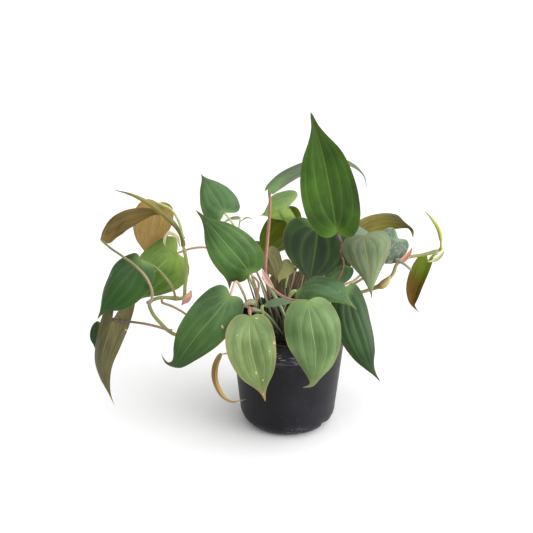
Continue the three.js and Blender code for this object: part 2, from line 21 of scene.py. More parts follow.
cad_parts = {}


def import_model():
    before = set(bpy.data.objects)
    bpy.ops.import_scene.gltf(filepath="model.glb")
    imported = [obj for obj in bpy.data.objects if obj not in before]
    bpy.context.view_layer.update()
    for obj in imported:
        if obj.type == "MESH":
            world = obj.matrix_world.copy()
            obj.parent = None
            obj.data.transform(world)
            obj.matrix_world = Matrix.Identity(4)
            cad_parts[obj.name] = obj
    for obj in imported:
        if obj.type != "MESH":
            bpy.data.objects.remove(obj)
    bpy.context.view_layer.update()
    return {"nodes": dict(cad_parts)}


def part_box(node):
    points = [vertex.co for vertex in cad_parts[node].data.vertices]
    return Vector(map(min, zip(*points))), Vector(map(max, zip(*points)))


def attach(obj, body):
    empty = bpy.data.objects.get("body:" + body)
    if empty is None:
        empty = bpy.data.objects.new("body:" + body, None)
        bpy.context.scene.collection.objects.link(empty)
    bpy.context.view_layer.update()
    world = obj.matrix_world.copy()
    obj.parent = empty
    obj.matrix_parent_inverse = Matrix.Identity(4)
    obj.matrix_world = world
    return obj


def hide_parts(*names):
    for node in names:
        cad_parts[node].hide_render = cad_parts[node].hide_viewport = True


LOG = logging.getLogger("philodendron")
BODY = "root"
MM = 0.001
WELD = 1e-6
# Points round one ring of the frame's lofts.
RING = 8
# The chart of length and width, and the numbers stored on the meshes.
LAMINA = "lamina"
ALONG = "along"
TONE = "tone"
# Per-leaf weight of the painted sheen: overhead light painted pale on surfaces that look up.
PAINTED_SHEEN = "painted_sheen"

Array = np.ndarray
Material = bpy.types.Material
Mesh = bpy.types.Mesh
Object = bpy.types.Object
Socket = bpy.types.NodeSocket
Plug = Socket | float | int | tuple[float, ...] | Material
Colour = tuple[float, float, float, float]


# ------------------------------------------------------------------ small helpers
def srgb(code: int) -> Colour:
    """Linear colour of a 0xRRGGBB code.

    Args:
        code: Red, green and blue as one hexadecimal number.

    Returns:
        Linear red, green, blue and an alpha of one.
    """
    parts = [((code >> shift) & 255) / 255 for shift in (16, 8, 0)]
    linear = [p / 12.92 if p <= 0.04045 else ((p + 0.055) / 1.055) ** 2.4 for p in parts]
    return (linear[0], linear[1], linear[2], 1.0)


def unit(vector: Array) -> Array:
    """Rows of an array scaled to length one."""
    return vector / np.maximum(np.linalg.norm(vector, axis=-1, keepdims=True), 1e-12)


def soft_step(value: Array, low: float, high: float) -> Array:
    """Smooth change from 0 at low to 1 at high."""
    share = np.clip((value - low) / (high - low), 0.0, 1.0)
    return share * share * (3.0 - 2.0 * share)


def through(knots: Array, values: Array, at: Array) -> Array:
    """Smooth curve through values at uneven knots.

    Args:
        knots: Increasing positions of the known rows.
        values: One row for each knot.
        at: Positions to read.

    Returns:
        One row for each position in ``at``.
    """
    gaps = np.diff(knots)
    shape = (-1,) + (1,) * (values.ndim - 1)
    rise = np.diff(values, axis=0) / gaps.reshape(shape)
    slopes = np.empty_like(values)
    before, after = gaps[:-1].reshape(shape), gaps[1:].reshape(shape)
    slopes[1:-1] = (rise[:-1] * after + rise[1:] * before) / (before + after)
    slopes[0], slopes[-1] = rise[0], rise[-1]
    cell = np.clip(np.searchsorted(knots, at, side="right") - 1, 0, len(gaps) - 1)
    gap = gaps[cell].reshape(shape)
    t = ((at - knots[cell]) / gaps[cell]).reshape(shape)
    return (
        values[cell] * (1 + 2 * t) * (1 - t) ** 2
        + slopes[cell] * gap * t * (1 - t) ** 2
        + values[cell + 1] * t * t * (3 - 2 * t)
        + slopes[cell + 1] * gap * t * t * (t - 1)
    )


def chord_knots(points: Array) -> Array:
    """Distance along a row of points, starting at zero."""
    steps = np.linalg.norm(np.diff(points, axis=0), axis=1)
    return np.concatenate([[0.0], np.cumsum(np.maximum(steps, 1e-7))])


def new_object(name: str, mesh: Mesh) -> Object:
    """Link a mesh to the scene as an object at the origin."""
    made = bpy.data.objects.new(name, mesh)
    bpy.context.scene.collection.objects.link(made)
    return made


def new_mesh(name: str, points: Sequence, faces: Sequence, edges: Sequence = ()) -> Mesh:
    """Mesh of some points with faces and loose edges over them."""
    mesh = bpy.data.meshes.new(name)
    mesh.from_pydata(points, edges, faces)
    return mesh


def store(mesh: Mesh, key: str, values: Sequence[float] | Array) -> None:
    """Store one number for each point of a mesh."""
    layer = mesh.attributes.new(key, "FLOAT", "POINT")
    layer.data.foreach_set("value", np.asarray(values, dtype=np.float32))


def store_chart(mesh: Mesh, corners: Sequence[tuple[float, float]]) -> None:
    """Store where each corner of each face lies in the chart."""
    layer = mesh.uv_layers.new(name=LAMINA)
    layer.data.foreach_set("uv", np.array(corners, dtype=np.float32).ravel())


def join(pieces: Sequence[Object]) -> Object:
    """Join objects into the first of them."""
    with bpy.context.temp_override(
        active_object=pieces[0], object=pieces[0], selected_editable_objects=pieces
    ):
        bpy.ops.object.join()
    return pieces[0]


def plain_mesh(source: Object, name: str) -> Mesh:
    """Evaluate an object with its modifiers into a plain mesh, and remove the object.

    Args:
        source: Object whose modifiers are live.
        name: Name of the finished mesh.

    Returns:
        The mesh that the modifiers give.
    """
    graph = bpy.context.evaluated_depsgraph_get()
    mesh = bpy.data.meshes.new_from_object(source.evaluated_get(graph), depsgraph=graph)
    mesh.name = name
    bpy.data.objects.remove(source)
    return mesh


def smooth(mesh: Mesh, crease_degrees: float) -> None:
    """Shade a mesh smooth, with edges sharper than an angle kept crisp."""
    mesh.polygons.foreach_set("use_smooth", [True] * len(mesh.polygons))
    mesh.set_sharp_from_angle(angle=math.radians(crease_degrees))


def settle(piece: Object, node: str | None = None) -> None:
    """Hand a finished piece to the frame.

    Args:
        piece: The finished object.
        node: Frame node that it stands for, if it stands for one.
    """
    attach(piece, BODY)
    if node is not None:
        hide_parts(node)
    LOG.info("%s: %d faces", piece.name, len(piece.data.polygons))


# ------------------------------------------------------------------ node writing
class NodeSheet:
    """A short way to write one node tree."""

    def __init__(self, tree: bpy.types.NodeTree) -> None:
        """Write into ``tree``."""
        self.tree = tree

    def node(
        self, kind: str, plugs: dict[int | str, Plug] | None = None, **settings: object
    ) -> bpy.types.Node:
        """Add a node.

        Args:
            kind: Name of the node type.
            plugs: A value or a socket for each input, by index or name.
            **settings: Properties of the node, set before its inputs.

        Returns:
            The node.
        """
        made = self.tree.nodes.new(kind)
        for key, value in settings.items():
            setattr(made, key, value)
        for key, value in (plugs or {}).items():
            if isinstance(value, Socket):
                self.tree.links.new(value, made.inputs[key])
            else:
                made.inputs[key].default_value = value
        return made

    def math(
        self, operation: str, first: Plug, second: Plug = 0.0, third: Plug = 0.0
    ) -> Socket:
        """Result of one operation on numbers."""
        return self.node(
            "ShaderNodeMath", {0: first, 1: second, 2: third}, operation=operation
        ).outputs[0]

    def product(self, first: Plug, *others: Plug) -> Plug:
        """Numbers multiplied one after another."""
        for other in others:
            first = self.math("MULTIPLY", first, other)
        return first

    def total(self, first: Plug, *others: Plug) -> Plug:
        """Numbers added one after another."""
        for other in others:
            first = self.math("ADD", first, other)
        return first

    def largest(self, first: Plug, second: Plug) -> Socket:
        """The larger of two numbers."""
        return self.math("MAXIMUM", first, second)

    def fade(self, value: Plug, low: float, high: float) -> Socket:
        """Smooth change from 0 at low to 1 at high; low may be the larger one."""
        return self.node(
            "ShaderNodeMapRange",
            {"Value": value, "From Min": low, "From Max": high},
            interpolation_type="SMOOTHSTEP",
        ).outputs["Result"]

    def vector(self, operation: str, first: Plug, second: Plug) -> Socket:
        """Result of one operation on vectors."""
        return self.node(
            "ShaderNodeVectorMath", {0: first, 1: second}, operation=operation
        ).outputs[0]

    def scaled(self, vector: Plug, factor: Plug) -> Socket:
        """A vector times a number."""
        return self.node(
            "ShaderNodeVectorMath", {0: vector, "Scale": factor}, operation="SCALE"
        ).outputs[0]

    def axes(self, vector: Plug) -> Sequence[Socket]:
        """The three numbers of a vector."""
        return self.node("ShaderNodeSeparateXYZ", {0: vector}).outputs


class MaterialSheet(NodeSheet):
    """A short way to write one material."""

    def __init__(self, name: str) -> None:
        """Start an empty material called ``name``."""
        self.material = bpy.data.materials.new(name)
        self.material.use_nodes = True
        self.material.node_tree.nodes.clear()
        super().__init__(self.material.node_tree)

    def mix(self, share: Plug, first: Plug, second: Plug) -> Socket:
        """Blend two colours."""
        return self.node(
            "ShaderNodeMix", {0: share, 6: first, 7: second}, data_type="RGBA"
        ).outputs[2]

    def tinted(self, colour: Plug, code: int, *weights: Plug) -> Socket:
        """Lay an sRGB code over a colour, by the product of some weights."""
        return self.mix(self.product(*weights), colour, srgb(code))

    def window(
        self, value: Plug, rise: tuple[float, float], fall: tuple[float, float]
    ) -> Plug:
        """1 inside a zone, coming in over ``rise`` and going out over ``fall``."""
        return self.product(self.fade(value, *rise), self.fade(value, *fall))

    def around(self, middle: float, cloud: Plug, spread: float) -> Socket:
        """A number that strays from its middle with a cloud that runs from 0 to 1."""
        return self.math("MULTIPLY_ADD", cloud, spread, middle - spread / 2)

    def place(self) -> Socket:
        """Object coordinates, in metres."""
        return self.node("ShaderNodeTexCoord").outputs["Object"]

    def chart(self) -> Socket:
        """Place in the chart of length and width."""
        return self.node("ShaderNodeUVMap", uv_map=LAMINA).outputs[0]

    def facing(self) -> Socket:
        """How far the surface looks up, from -1 to 1."""
        return self.axes(self.node("ShaderNodeTexCoord").outputs["Normal"])[2]

    def attribute(self, name: str) -> Socket:
        """Number stored on the mesh under ``name``."""
        return self.node("ShaderNodeAttribute", attribute_name=name).outputs["Fac"]

    def noise(
        self, where: Plug, scale: float, detail: float = 3.0, bend: float = 0.0
    ) -> Socket:
        """Cloudy noise, mostly between 0.3 and 0.7."""
        return self.node(
            "ShaderNodeTexNoise",
            {"Vector": where, "Scale": scale, "Detail": detail, "Distortion": bend},
        ).outputs[0]

    def stretched(self, where: Plug, factors: tuple[float, float, float]) -> Socket:
        """Coordinates scaled by a factor along each axis."""
        return self.vector("MULTIPLY", where, factors)

    def finish(
        self,
        colour: Plug,
        roughness: Plug,
        height: Socket,
        depth: float,
        constants: dict[str, float | Colour],
    ) -> Material:
        """Close the material.

        Args:
            colour: Base colour.
            roughness: Roughness.
            height: Relief from 0 to 1.
            depth: Height in metres of one unit of relief.
            constants: Other settings of the surface, the same all over.

        Returns:
            The finished material.
        """
        bump = self.node("ShaderNodeBump", {"Height": height, "Distance": depth})
        surface = self.node(
            "ShaderNodeBsdfPrincipled",
            {
                "Base Color": colour,
                "Roughness": roughness,
                "Normal": bump.outputs[0],
                **constants,
            },
        )
        self.node("ShaderNodeOutputMaterial", {0: surface.outputs[0]})
        return self.material


class GrowthSheet(NodeSheet):
    """A Geometry Nodes tree with named inputs."""

    def __init__(self, name: str) -> None:
        """Start an empty tree called ``name`` with one geometry in and one out."""
        tree = bpy.data.node_groups.new(name, "GeometryNodeTree")
        super().__init__(tree)
        tree.interface.new_socket("Geometry", in_out="INPUT", socket_type="NodeSocketGeometry")
        tree.interface.new_socket("Geometry", in_out="OUTPUT", socket_type="NodeSocketGeometry")
        self.entry = self.node("NodeGroupInput")
        self.identifiers: dict[str, str] = {}

    def ask(self, name: str, kind: str) -> Socket:
        """Add a named input.

        Args:
            name: Name that the modifier shows.
            kind: Socket type, such as Float, Int or Material.

        Returns:
            The socket that gives the input's value inside the tree.
        """
        item = self.tree.interface.new_socket(
            name, in_out="INPUT", socket_type=f"NodeSocket{kind}"
        )
        self.identifiers[name] = item.identifier
        return self.entry.outputs[name]

    def close(self, geometry: Socket, skin: Socket) -> None:
        """End the tree in real, smooth faces of one material."""
        real = self.node("GeometryNodeRealizeInstances", {0: geometry}).outputs[0]
        even = self.node("GeometryNodeSetShadeSmooth", {0: real}).outputs[0]
        dressed = self.node("GeometryNodeSetMaterial", {0: even, "Material": skin}).outputs[0]
        self.node("NodeGroupOutput", {0: dressed})

    def grow(
        self, host: Object, name: str, values: dict[str, object]
    ) -> Mesh:
        """Run the tree on an object.

        Args:
            host: Object that the tree starts from; it is used up.
            name: Name of the finished mesh.
            values: A value for each named input.

        Returns:
            The plain mesh that the tree makes.
        """
        modifier = host.modifiers.new(self.tree.name, "NODES")
        modifier.node_group = self.tree
        for key, value in values.items():
            modifier[self.identifiers[key]] = value
        host.update_tag()
        return plain_mesh(host, name)


# ------------------------------------------------------------------ finishes
@dataclass(frozen=True)
class VeinLine:
    """A side vein, as a path over one half of a blade.

    Attributes:
        reach: Where it runs in the end, as a share of the half width.
        start: Where it leaves the midrib, as a share of the length.
        run: Length over which it swings out, as a share of the length.
        strength: How strongly it shows.
    """

    reach: float
    start: float
    run: float
    strength: float

    def across(self, along: Array) -> Array:
        """Share of the half width at each share of the length."""
        past = np.clip(along - self.start, 0.0, None)
        return self.reach * (1.0 - np.exp(-past / self.run))


VEINS = (
    VeinLine(0.80, 0.0, 0.10, 0.6),
    VeinLine(0.46, 0.0, 0.17, 1.0),
    VeinLine(0.20, 0.26, 0.22, 0.25),
)


@dataclass(frozen=True)
class SidePaint:
    """Colours of one side of a blade, as sRGB codes."""

    deep: int
    light: int
    vein: int


@dataclass(frozen=True)
class LeafFinish:
    """Surface of one kind of leaf.

    Attributes:
        slot: Material slot of the record; not used.
        upper: Colours of the upper side.
        under: Colours of the underside.
        margin: sRGB code of the thin edge line.
        tip: sRGB code towards the drip tip.
        blush: How far the tip colour spreads over edges and tip, from 0 to 1.
        spots: Share of the surface cells that carry a dry speck.
        roughness: Mean roughness of the velvet.
        sheen: Weight of the velvet sheen.
        veins: How clearly the side veins show, from 0 to 1.
        halo: sRGB code of the soft bands along the veins of the upper side.
        band: Weight of those bands.
        streak: Weight of the lengthwise streaks against the clouds.
        mottle: Weight of pale blotches on the upper side.
        collar: sRGB code of the upper side next to the stalk.
        collar_reach: How far the collar spreads, as a share of the length.
    """

    slot: str
    upper: SidePaint
    under: SidePaint
    margin: int = 0x7C7A52
    tip: int = 0x6E6238
    blush: float = 0.25
    spots: float = 0.02
    roughness: float = 0.5
    sheen: float = 0.03
    veins: float = 0.25
    halo: int = 0x6F8A4E
    band: float = 0.1
    streak: float = 0.3
    mottle: float = 0.0
    collar: int = 0x6E8C4A
    collar_reach: float = 0.14

    SPOT_SIZE = 6 * MM
    STREAKS = 34.0
    SPECK = 0xA8946A
    # Colour of the painted sheen of the overhead light.
    PAINTED_SHEEN_COLOUR = 0x6B8376
    SHEEN_TINT = 0xDDEBDD

    def _lines(self, sheet: MaterialSheet, along: Plug, aside: Plug) -> tuple[Socket, Socket]:
        """Midrib and side veins.

        Args:
            sheet: Material being written.
            along: Share of the length.
            aside: Share of the half width.

        Returns:
            Strength of the lines themselves, and of the paler zone beside them.
        """
        taper = sheet.math("MULTIPLY_ADD", along, -0.6, 1.0)
        nearness = sheet.math("DIVIDE", aside, taper)
        lines = sheet.fade(nearness, 0.036, 0.012)
        zones = sheet.fade(nearness, 0.12, 0.0)
        for vein in VEINS:
            past = sheet.largest(sheet.math("SUBTRACT", along, vein.start), 0.0)
            swing = sheet.math("EXPONENT", sheet.math("DIVIDE", past, -vein.run))
            path = sheet.product(sheet.math("SUBTRACT", 1.0, swing), vein.reach)
            off = sheet.math("ABSOLUTE", sheet.math("SUBTRACT", aside, path))
            shown = sheet.product(sheet.fade(past, 0.0, 0.05), sheet.fade(along, 0.95, 0.45))
            line = sheet.product(sheet.fade(off, 0.02, 0.004), shown, self.veins * vein.strength)
            zone = sheet.product(sheet.fade(off, 0.13, 0.0), shown, 0.8 * vein.strength)
            lines, zones = sheet.largest(lines, line), sheet.largest(zones, zone)
        return lines, zones

    def _specks(self, sheet: MaterialSheet, where: Plug) -> Plug:
        """Weight of the dry specks.

        Args:
            sheet: Material being written.
            where: Object coordinates.

        Returns:
            1 on a speck and 0 between them.
        """
        jolt = sheet.node("ShaderNodeTexNoise", {"Vector": where, "Scale": 240.0}).outputs[1]
        shaken = sheet.vector("ADD", where, sheet.stretched(jolt, (self.SPOT_SIZE,) * 3))
        cells = sheet.node(
            "ShaderNodeTexVoronoi", {"Vector": shaken, "Scale": 1.0 / self.SPOT_SIZE}
        ).outputs
        draws = sheet.node("ShaderNodeSeparateColor", {0: cells["Color"]}).outputs
        from_middle = sheet.total(cells["Distance"], sheet.product(draws[1], 0.13))
        chosen = sheet.math("LESS_THAN", draws[0], self.spots)
        return sheet.product(sheet.fade(from_middle, 0.3, 0.2), chosen)

    def blade(self, name: str, is_upper: bool) -> Material:
        """Material of one side of the blade.

        Args:
            name: Name of the material.
            is_upper: Whether it is the upper side.

        Returns:
            The material.
        """
        paint = self.upper if is_upper else self.under
        sheet = MaterialSheet(name)
        where, chart = sheet.place(), sheet.chart()
        split = sheet.axes(chart)
        along = split[0]
        centred = sheet.product(sheet.math("SUBTRACT", split[1], 0.5), 2.0)
        aside = sheet.math("ABSOLUTE", centred)
        lines, zones = self._lines(sheet, along, aside)

        cloud = sheet.noise(where, 28.0, 3.0)
        streak = sheet.noise(sheet.stretched(chart, (3.0, self.STREAKS, 1.0)), 1.6, 4.0, 0.4)
        velvet = sheet.noise(where, 1500.0, 2.0)
        ground = sheet.total(
            sheet.product(sheet.fade(cloud, 0.3, 0.72), 1.0 - self.streak),
            sheet.product(sheet.fade(streak, 0.3, 0.68), self.streak),
        )
        lift = sheet.total(sheet.attribute(TONE), ground)
        colour = sheet.mix(lift, srgb(paint.deep), srgb(paint.light))
        halo, band = (self.halo, self.band) if is_upper else (paint.vein, 0.25)
        colour = sheet.tinted(colour, halo, zones, band)
        if is_upper and self.mottle:
            blotch = sheet.noise(where, 150.0, 5.0, 1.4)
            colour = sheet.tinted(colour, paint.vein, sheet.fade(blotch, 0.46, 0.66), self.mottle)
        colour = sheet.tinted(colour, paint.vein, lines, 0.5)
        rim = sheet.product(sheet.fade(aside, 0.8, 1.02), 0.35)
        edge = sheet.largest(rim, sheet.fade(along, 0.72, 1.0))
        colour = sheet.tinted(colour, self.tip, edge, cloud, 2.0 * self.blush)
        collar = self.collar if is_upper else paint.vein
        colour = sheet.tinted(colour, collar, sheet.fade(along, self.collar_reach, 0.0), 0.6)
        if is_upper:
            # Painted sheen: surfaces that look up are tinted pale grey-green, standing in for the
            # overhead light caught by the velvet.
            painted_sheen_mask = sheet.product(sheet.attribute(PAINTED_SHEEN), sheet.fade(cloud, 0.1, 0.7))
            colour = sheet.tinted(
                colour, self.PAINTED_SHEEN_COLOUR, painted_sheen_mask, sheet.fade(sheet.facing(), 0.0, 1.0)
            )
        colour = sheet.tinted(colour, self.margin, sheet.fade(aside, 0.965, 0.99), cloud, 0.45)
        colour = sheet.tinted(colour, self.SPECK, self._specks(sheet, where))

        height = sheet.total(
            sheet.product(lines, -0.5 if is_upper else 0.7),
            sheet.product(streak, 0.5),
            sheet.product(velvet, 0.12),
        )
        return sheet.finish(
            colour,
            sheet.around(self.roughness, streak, 0.16),
            height,
            0.35 * MM,
            {
                "Specular IOR Level": 0.22,
                "Sheen Weight": self.sheen,
                "Sheen Roughness": 0.42,
                "Sheen Tint": srgb(self.SHEEN_TINT),
            },
        )


@dataclass(frozen=True)
class StalkFinish:
    """Surface of a stalk or stem.

    Attributes:
        foot: sRGB code at its foot.
        head: sRGB code at its end.
        fleck: sRGB code of its fine lines.
        roughness: Mean roughness.
    """

    foot: int
    head: int
    fleck: int = 0x8C6A50
    roughness: float = 0.45

    # Painted shade: stalks and stems darken towards the root collar in the middle of the potting
    # mix, standing in for the shade of the leaves above.
    ROOT_COLLAR = (0.0, 0.0, 0.1)
    FOOT_SHADE = 0x1E1A12
    FOOT_SHADE_REACH = (62 * MM, 26 * MM)

    def skin(self, name: str) -> Material:
        """Material with a change of colour along the stalk, fine lengthwise lines and painted shade
        towards the root collar.
        """
        sheet = MaterialSheet(name)
        where = sheet.place()
        cloud = sheet.noise(where, 70.0, 3.0)
        fine = sheet.noise(where, 420.0, 3.0)
        along = sheet.total(sheet.attribute(ALONG), sheet.math("SUBTRACT", cloud, 0.5))
        colour = sheet.mix(sheet.fade(along, 0.1, 0.9), srgb(self.foot), srgb(self.head))
        colour = sheet.tinted(colour, self.fleck, sheet.fade(fine, 0.5, 0.72), 0.55)
        colour = sheet.tinted(colour, self.head, sheet.fade(cloud, 0.62, 0.4), 0.3)
        away = sheet.node(
            "ShaderNodeVectorMath", {0: where, 1: self.ROOT_COLLAR}, operation="DISTANCE"
        ).outputs["Value"]
        # Painted shade near the foot of each stalk.
        colour = sheet.tinted(colour, self.FOOT_SHADE, sheet.fade(away, *self.FOOT_SHADE_REACH), 0.82)
        rough = sheet.around(self.roughness, fine, 0.2)
        return sheet.finish(
            colour, rough, fine, 0.25 * MM, {"Specular IOR Level": 0.4, "Sheen Weight": 0.12}
        )


@dataclass(frozen=True)
class SheathFinish:
    """Surface of a papery sheath or a rolled shoot.

    Attributes:
        body: sRGB code of its body.
        stripe: sRGB code of its lengthwise stripes.
        tip: sRGB code at its point.
        stripes: How many stripes run round it.
        roughness: Mean roughness.
    """

    body: int
    stripe: int
    tip: int
    stripes: float = 16.0
    roughness: float = 0.5

    def skin(self, name: str) -> Material:
        """Material with stripes along the piece and a darker point."""
        sheet = MaterialSheet(name)
        chart = sheet.chart()
        lines = sheet.noise(sheet.stretched(chart, (1.5, self.stripes, 1.0)), 2.2, 3.0, 0.3)
        cloud = sheet.noise(sheet.place(), 160.0, 3.0)
        colour = sheet.mix(sheet.fade(lines, 0.38, 0.66), srgb(self.body), srgb(self.stripe))
        colour = sheet.tinted(colour, self.tip, sheet.fade(cloud, 0.55, 0.75), 0.35)
        colour = sheet.tinted(colour, self.tip, sheet.fade(sheet.axes(chart)[0], 0.8, 1.0))
        rough = sheet.around(self.roughness, lines, 0.2)
        return sheet.finish(
            colour, rough, lines, 0.3 * MM, {"Specular IOR Level": 0.45, "Sheen Weight": 0.1}
        )


@dataclass(frozen=True)
class PlasticFinish:
    """Moulded nursery-pot plastic with handling marks.

    Attributes:
        base: sRGB code of the plastic.
        dull: sRGB code of its duller clouds.
        scuff: sRGB code of scuffs, scratches and dust.
        shade: sRGB code of the lip.
        roughness: Mean roughness.
    """

    base: int = 0x101013
    dull: int = 0x1A191F
    scuff: int = 0x8A8890
    shade: int = 0x08080A
    roughness: float = 0.42

    # Shares of the height over which each zone comes in and goes out.
    UPPER_SCUFFS = ((0.72, 0.84), (0.96, 0.88))
    LOWER_SCUFFS = ((0.02, 0.06), (0.17, 0.08))
    STEP_LINE = ((0.793, 0.8), (0.814, 0.806))
    LIP = ((0.948, 0.958), (0.996, 0.985))

    def skin(self, height: float) -> Material:
        """Material of the pot.

        Args:
            height: Height of the pot, in metres.

        Returns:
            The material.
        """
        sheet = MaterialSheet("pot plastic")
        where = sheet.place()
        share = sheet.math("DIVIDE", sheet.axes(where)[2], height)
        cloud = sheet.noise(where, 18.0, 4.0)
        grain = sheet.noise(where, 900.0, 2.0)
        drag = sheet.noise(sheet.stretched(where, (40.0, 40.0, 300.0)), 1.0, 5.0, 1.2)
        hair = sheet.noise(sheet.stretched(where, (120.0, 120.0, 320.0)), 1.0, 6.0, 1.6)
        colour = sheet.mix(sheet.fade(cloud, 0.35, 0.7), srgb(self.base), srgb(self.dull))
        bands = sheet.total(
            sheet.window(share, *self.UPPER_SCUFFS), sheet.window(share, *self.LOWER_SCUFFS)
        )
        smear = sheet.product(bands, sheet.fade(cloud, 0.42, 0.56), sheet.fade(drag, 0.52, 0.75))
        scratch = sheet.product(bands, sheet.fade(cloud, 0.47, 0.55), sheet.fade(hair, 0.57, 0.66))
        dust = sheet.product(sheet.fade(grain, 0.6, 0.8), 0.12)
        line = sheet.product(sheet.window(share, *self.STEP_LINE), 0.12)
        marks = sheet.product(sheet.largest(smear, scratch), 0.6)
        worn = sheet.largest(marks, sheet.largest(line, dust))
        colour = sheet.tinted(colour, self.scuff, worn)
        colour = sheet.tinted(colour, self.shade, sheet.window(share, *self.LIP), 0.75)
        rough = sheet.around(self.roughness, sheet.total(drag, marks), 0.16)
        relief = sheet.total(sheet.product(grain, 0.35), marks)
        return sheet.finish(
            colour, rough, relief, 0.08 * MM, {"Specular IOR Level": 0.15, "IOR": 1.49}
        )


@dataclass(frozen=True)
class MixFinish:
    """Damp potting mix: peat, bark and coir.

    Attributes:
        dark: sRGB code of the hollows.
        brown: sRGB code of the clumps.
        chip: sRGB code of single lighter chips.
        roughness: Mean roughness.
    """

    dark: int = 0x060403
    brown: int = 0x180E0A
    chip: int = 0x4A2A1C
    roughness: float = 0.92

    def skin(self, name: str) -> Material:
        """Material of the mix and its crumbs."""
        sheet = MaterialSheet(name)
        where = sheet.place()
        clumps = sheet.noise(where, 90.0, 5.0)
        grain = sheet.noise(where, 520.0, 4.0)
        cells = sheet.node("ShaderNodeTexVoronoi", {"Vector": where, "Scale": 230.0})
        pick = sheet.node("ShaderNodeSeparateColor", {0: cells.outputs["Color"]}).outputs[1]
        colour = sheet.mix(sheet.fade(clumps, 0.35, 0.7), srgb(self.dark), srgb(self.brown))
        colour = sheet.tinted(colour, self.chip, sheet.fade(pick, 0.8, 0.95), 0.7)
        relief = sheet.total(grain, sheet.product(clumps, 0.8))
        rough = sheet.around(self.roughness, grain, 0.1)
        return sheet.finish(colour, rough, relief, 0.9 * MM, {"Specular IOR Level": 0.25})


BARK = MixFinish(dark=0x180E0A, brown=0x3A2218, chip=0x6A4028, roughness=0.85)
PUMICE = MixFinish(dark=0x6A5A4A, brown=0x8C7C6A, chip=0xB0A290, roughness=0.8)

OLIVE_TOP = SidePaint(0x2C4017, 0x4E632C, 0x6C7C46)
GREEN_BACK = SidePaint(0x474F22, 0x6E763F, 0x7E8651)
PALE_BACK = SidePaint(0x777140, 0xA69E66, 0xB0A974)
SILVER_BACK = SidePaint(0x605D37, 0x8A865A, 0x949067)


class LeafKind(Enum):
    """The kinds of leaf on the plant."""

    MATURE = LeafFinish(
        "leaf_green", SidePaint(0x233D13, 0x42632A, 0x6B844B), GREEN_BACK,
    )
    CROWN = LeafFinish(
        "leaf_green", SidePaint(0x1B3204, 0x395C0A, 0x5C7F19),
        SidePaint(0x3C4A16, 0x61702D, 0x72813D), margin=0x5E6A34, sheen=0.02, veins=0.55,
        collar=0x5E8034, collar_reach=0.12,
    )
    DARK = LeafFinish(
        "leaf_dark_green", SidePaint(0x0B2001, 0x1E4007, 0x375C12),
        SidePaint(0x3F3C1E, 0x605B35, 0x6F6C42), blush=0.2, spots=0.03,
    )
    BRIGHT = LeafFinish(
        "leaf_bright_green", SidePaint(0x3F5F1B, 0x7A9944, 0xA3B672),
        SidePaint(0x5F7A1D, 0x9CB440, 0xAFBF5C), blush=0.12, roughness=0.3, veins=0.6,
        collar=0x9CB458, collar_reach=0.3,
    )
    LIGHT = LeafFinish(
        "leaf_light_green", SidePaint(0x3B5227, 0x62794A, 0x7A8D60), PALE_BACK, margin=0x8E7F58,
        tip=0x94784C, blush=0.3, veins=0.5,
    )
    SPECKLED = LeafFinish(
        "leaf_light_green", SidePaint(0x46582E, 0x728450, 0x8B9865),
        SidePaint(0x706B3C, 0x9E965F, 0xA7A06D), margin=0x94805A, tip=0x98784C, blush=0.8,
        spots=0.3, veins=0.45,
    )
    PALE = LeafFinish(
        "leaf_light_green", SidePaint(0x767A40, 0xA8A668, 0xBAB688), PALE_BACK, blush=0.3,
        veins=0.5,
    )
    SILVER = LeafFinish(
        "leaf_silver_green", SidePaint(0x3F5033, 0x717E59, 0x7E813A), SILVER_BACK,
        margin=0xA58A72, tip=0x6E5424, blush=0.85, sheen=0.1, veins=0.5, halo=0x565926, band=0.7,
        collar=0x6A7440, streak=0.5,
    )
    MOTTLED = LeafFinish(
        "leaf_silver_green", SidePaint(0x283A2A, 0x475646, 0x868670), SILVER_BACK, blush=0.1,
        veins=0.4, mottle=0.5, streak=0.5,
    )
    GREYED = LeafFinish(
        "leaf_green", SidePaint(0x1F320B, 0x575F42, 0x62723B), GREEN_BACK, blush=0.1, streak=0.85,
        collar=0x5E8A34, collar_reach=0.25,
    )
    OLIVE = LeafFinish(
        "leaf_olive_back", OLIVE_TOP, SidePaint(0x3A4607, 0x5E6B10, 0x6D7F1C), blush=0.3,
    )
    KHAKI = LeafFinish(
        "leaf_olive_back", OLIVE_TOP, SidePaint(0x483E0A, 0x706718, 0x7E7A22), blush=0.3,
        collar=0x5E6420,
    )
    DUSKY = LeafFinish(
        "leaf_olive_back", OLIVE_TOP, SidePaint(0x36331A, 0x5A5633, 0x605E38), blush=0.3,
        streak=0.85, veins=0.6,
    )
    BRONZE = LeafFinish(
        "leaf_bronze", SidePaint(0x3C2C0D, 0x66521F, 0x6B6728),
        SidePaint(0x493413, 0x785A28, 0x6A6526), margin=0x8D6B48, tip=0x7F5B3C, streak=0.75,
        veins=0.4, collar=0x6B5A2C,
    )
    BRASSY = LeafFinish(
        "leaf_bronze", SidePaint(0x462C07, 0x80620F, 0xA28E24),
        SidePaint(0x4D3E0A, 0x807F1C, 0x958B2E), margin=0x8D6B48, tip=0x4A2E12, blush=0.5,
        streak=0.6, collar=0x6FA020, collar_reach=0.55,
    )
    AMBER = LeafFinish(
        "leaf_bronze", SidePaint(0x776033, 0xA48951, 0x9A9B53),
        SidePaint(0x816635, 0xB6945A, 0x9F9A50), margin=0xA07A55, tip=0x9A6D50, streak=0.45,
        veins=0.9, spots=0.15,
    )


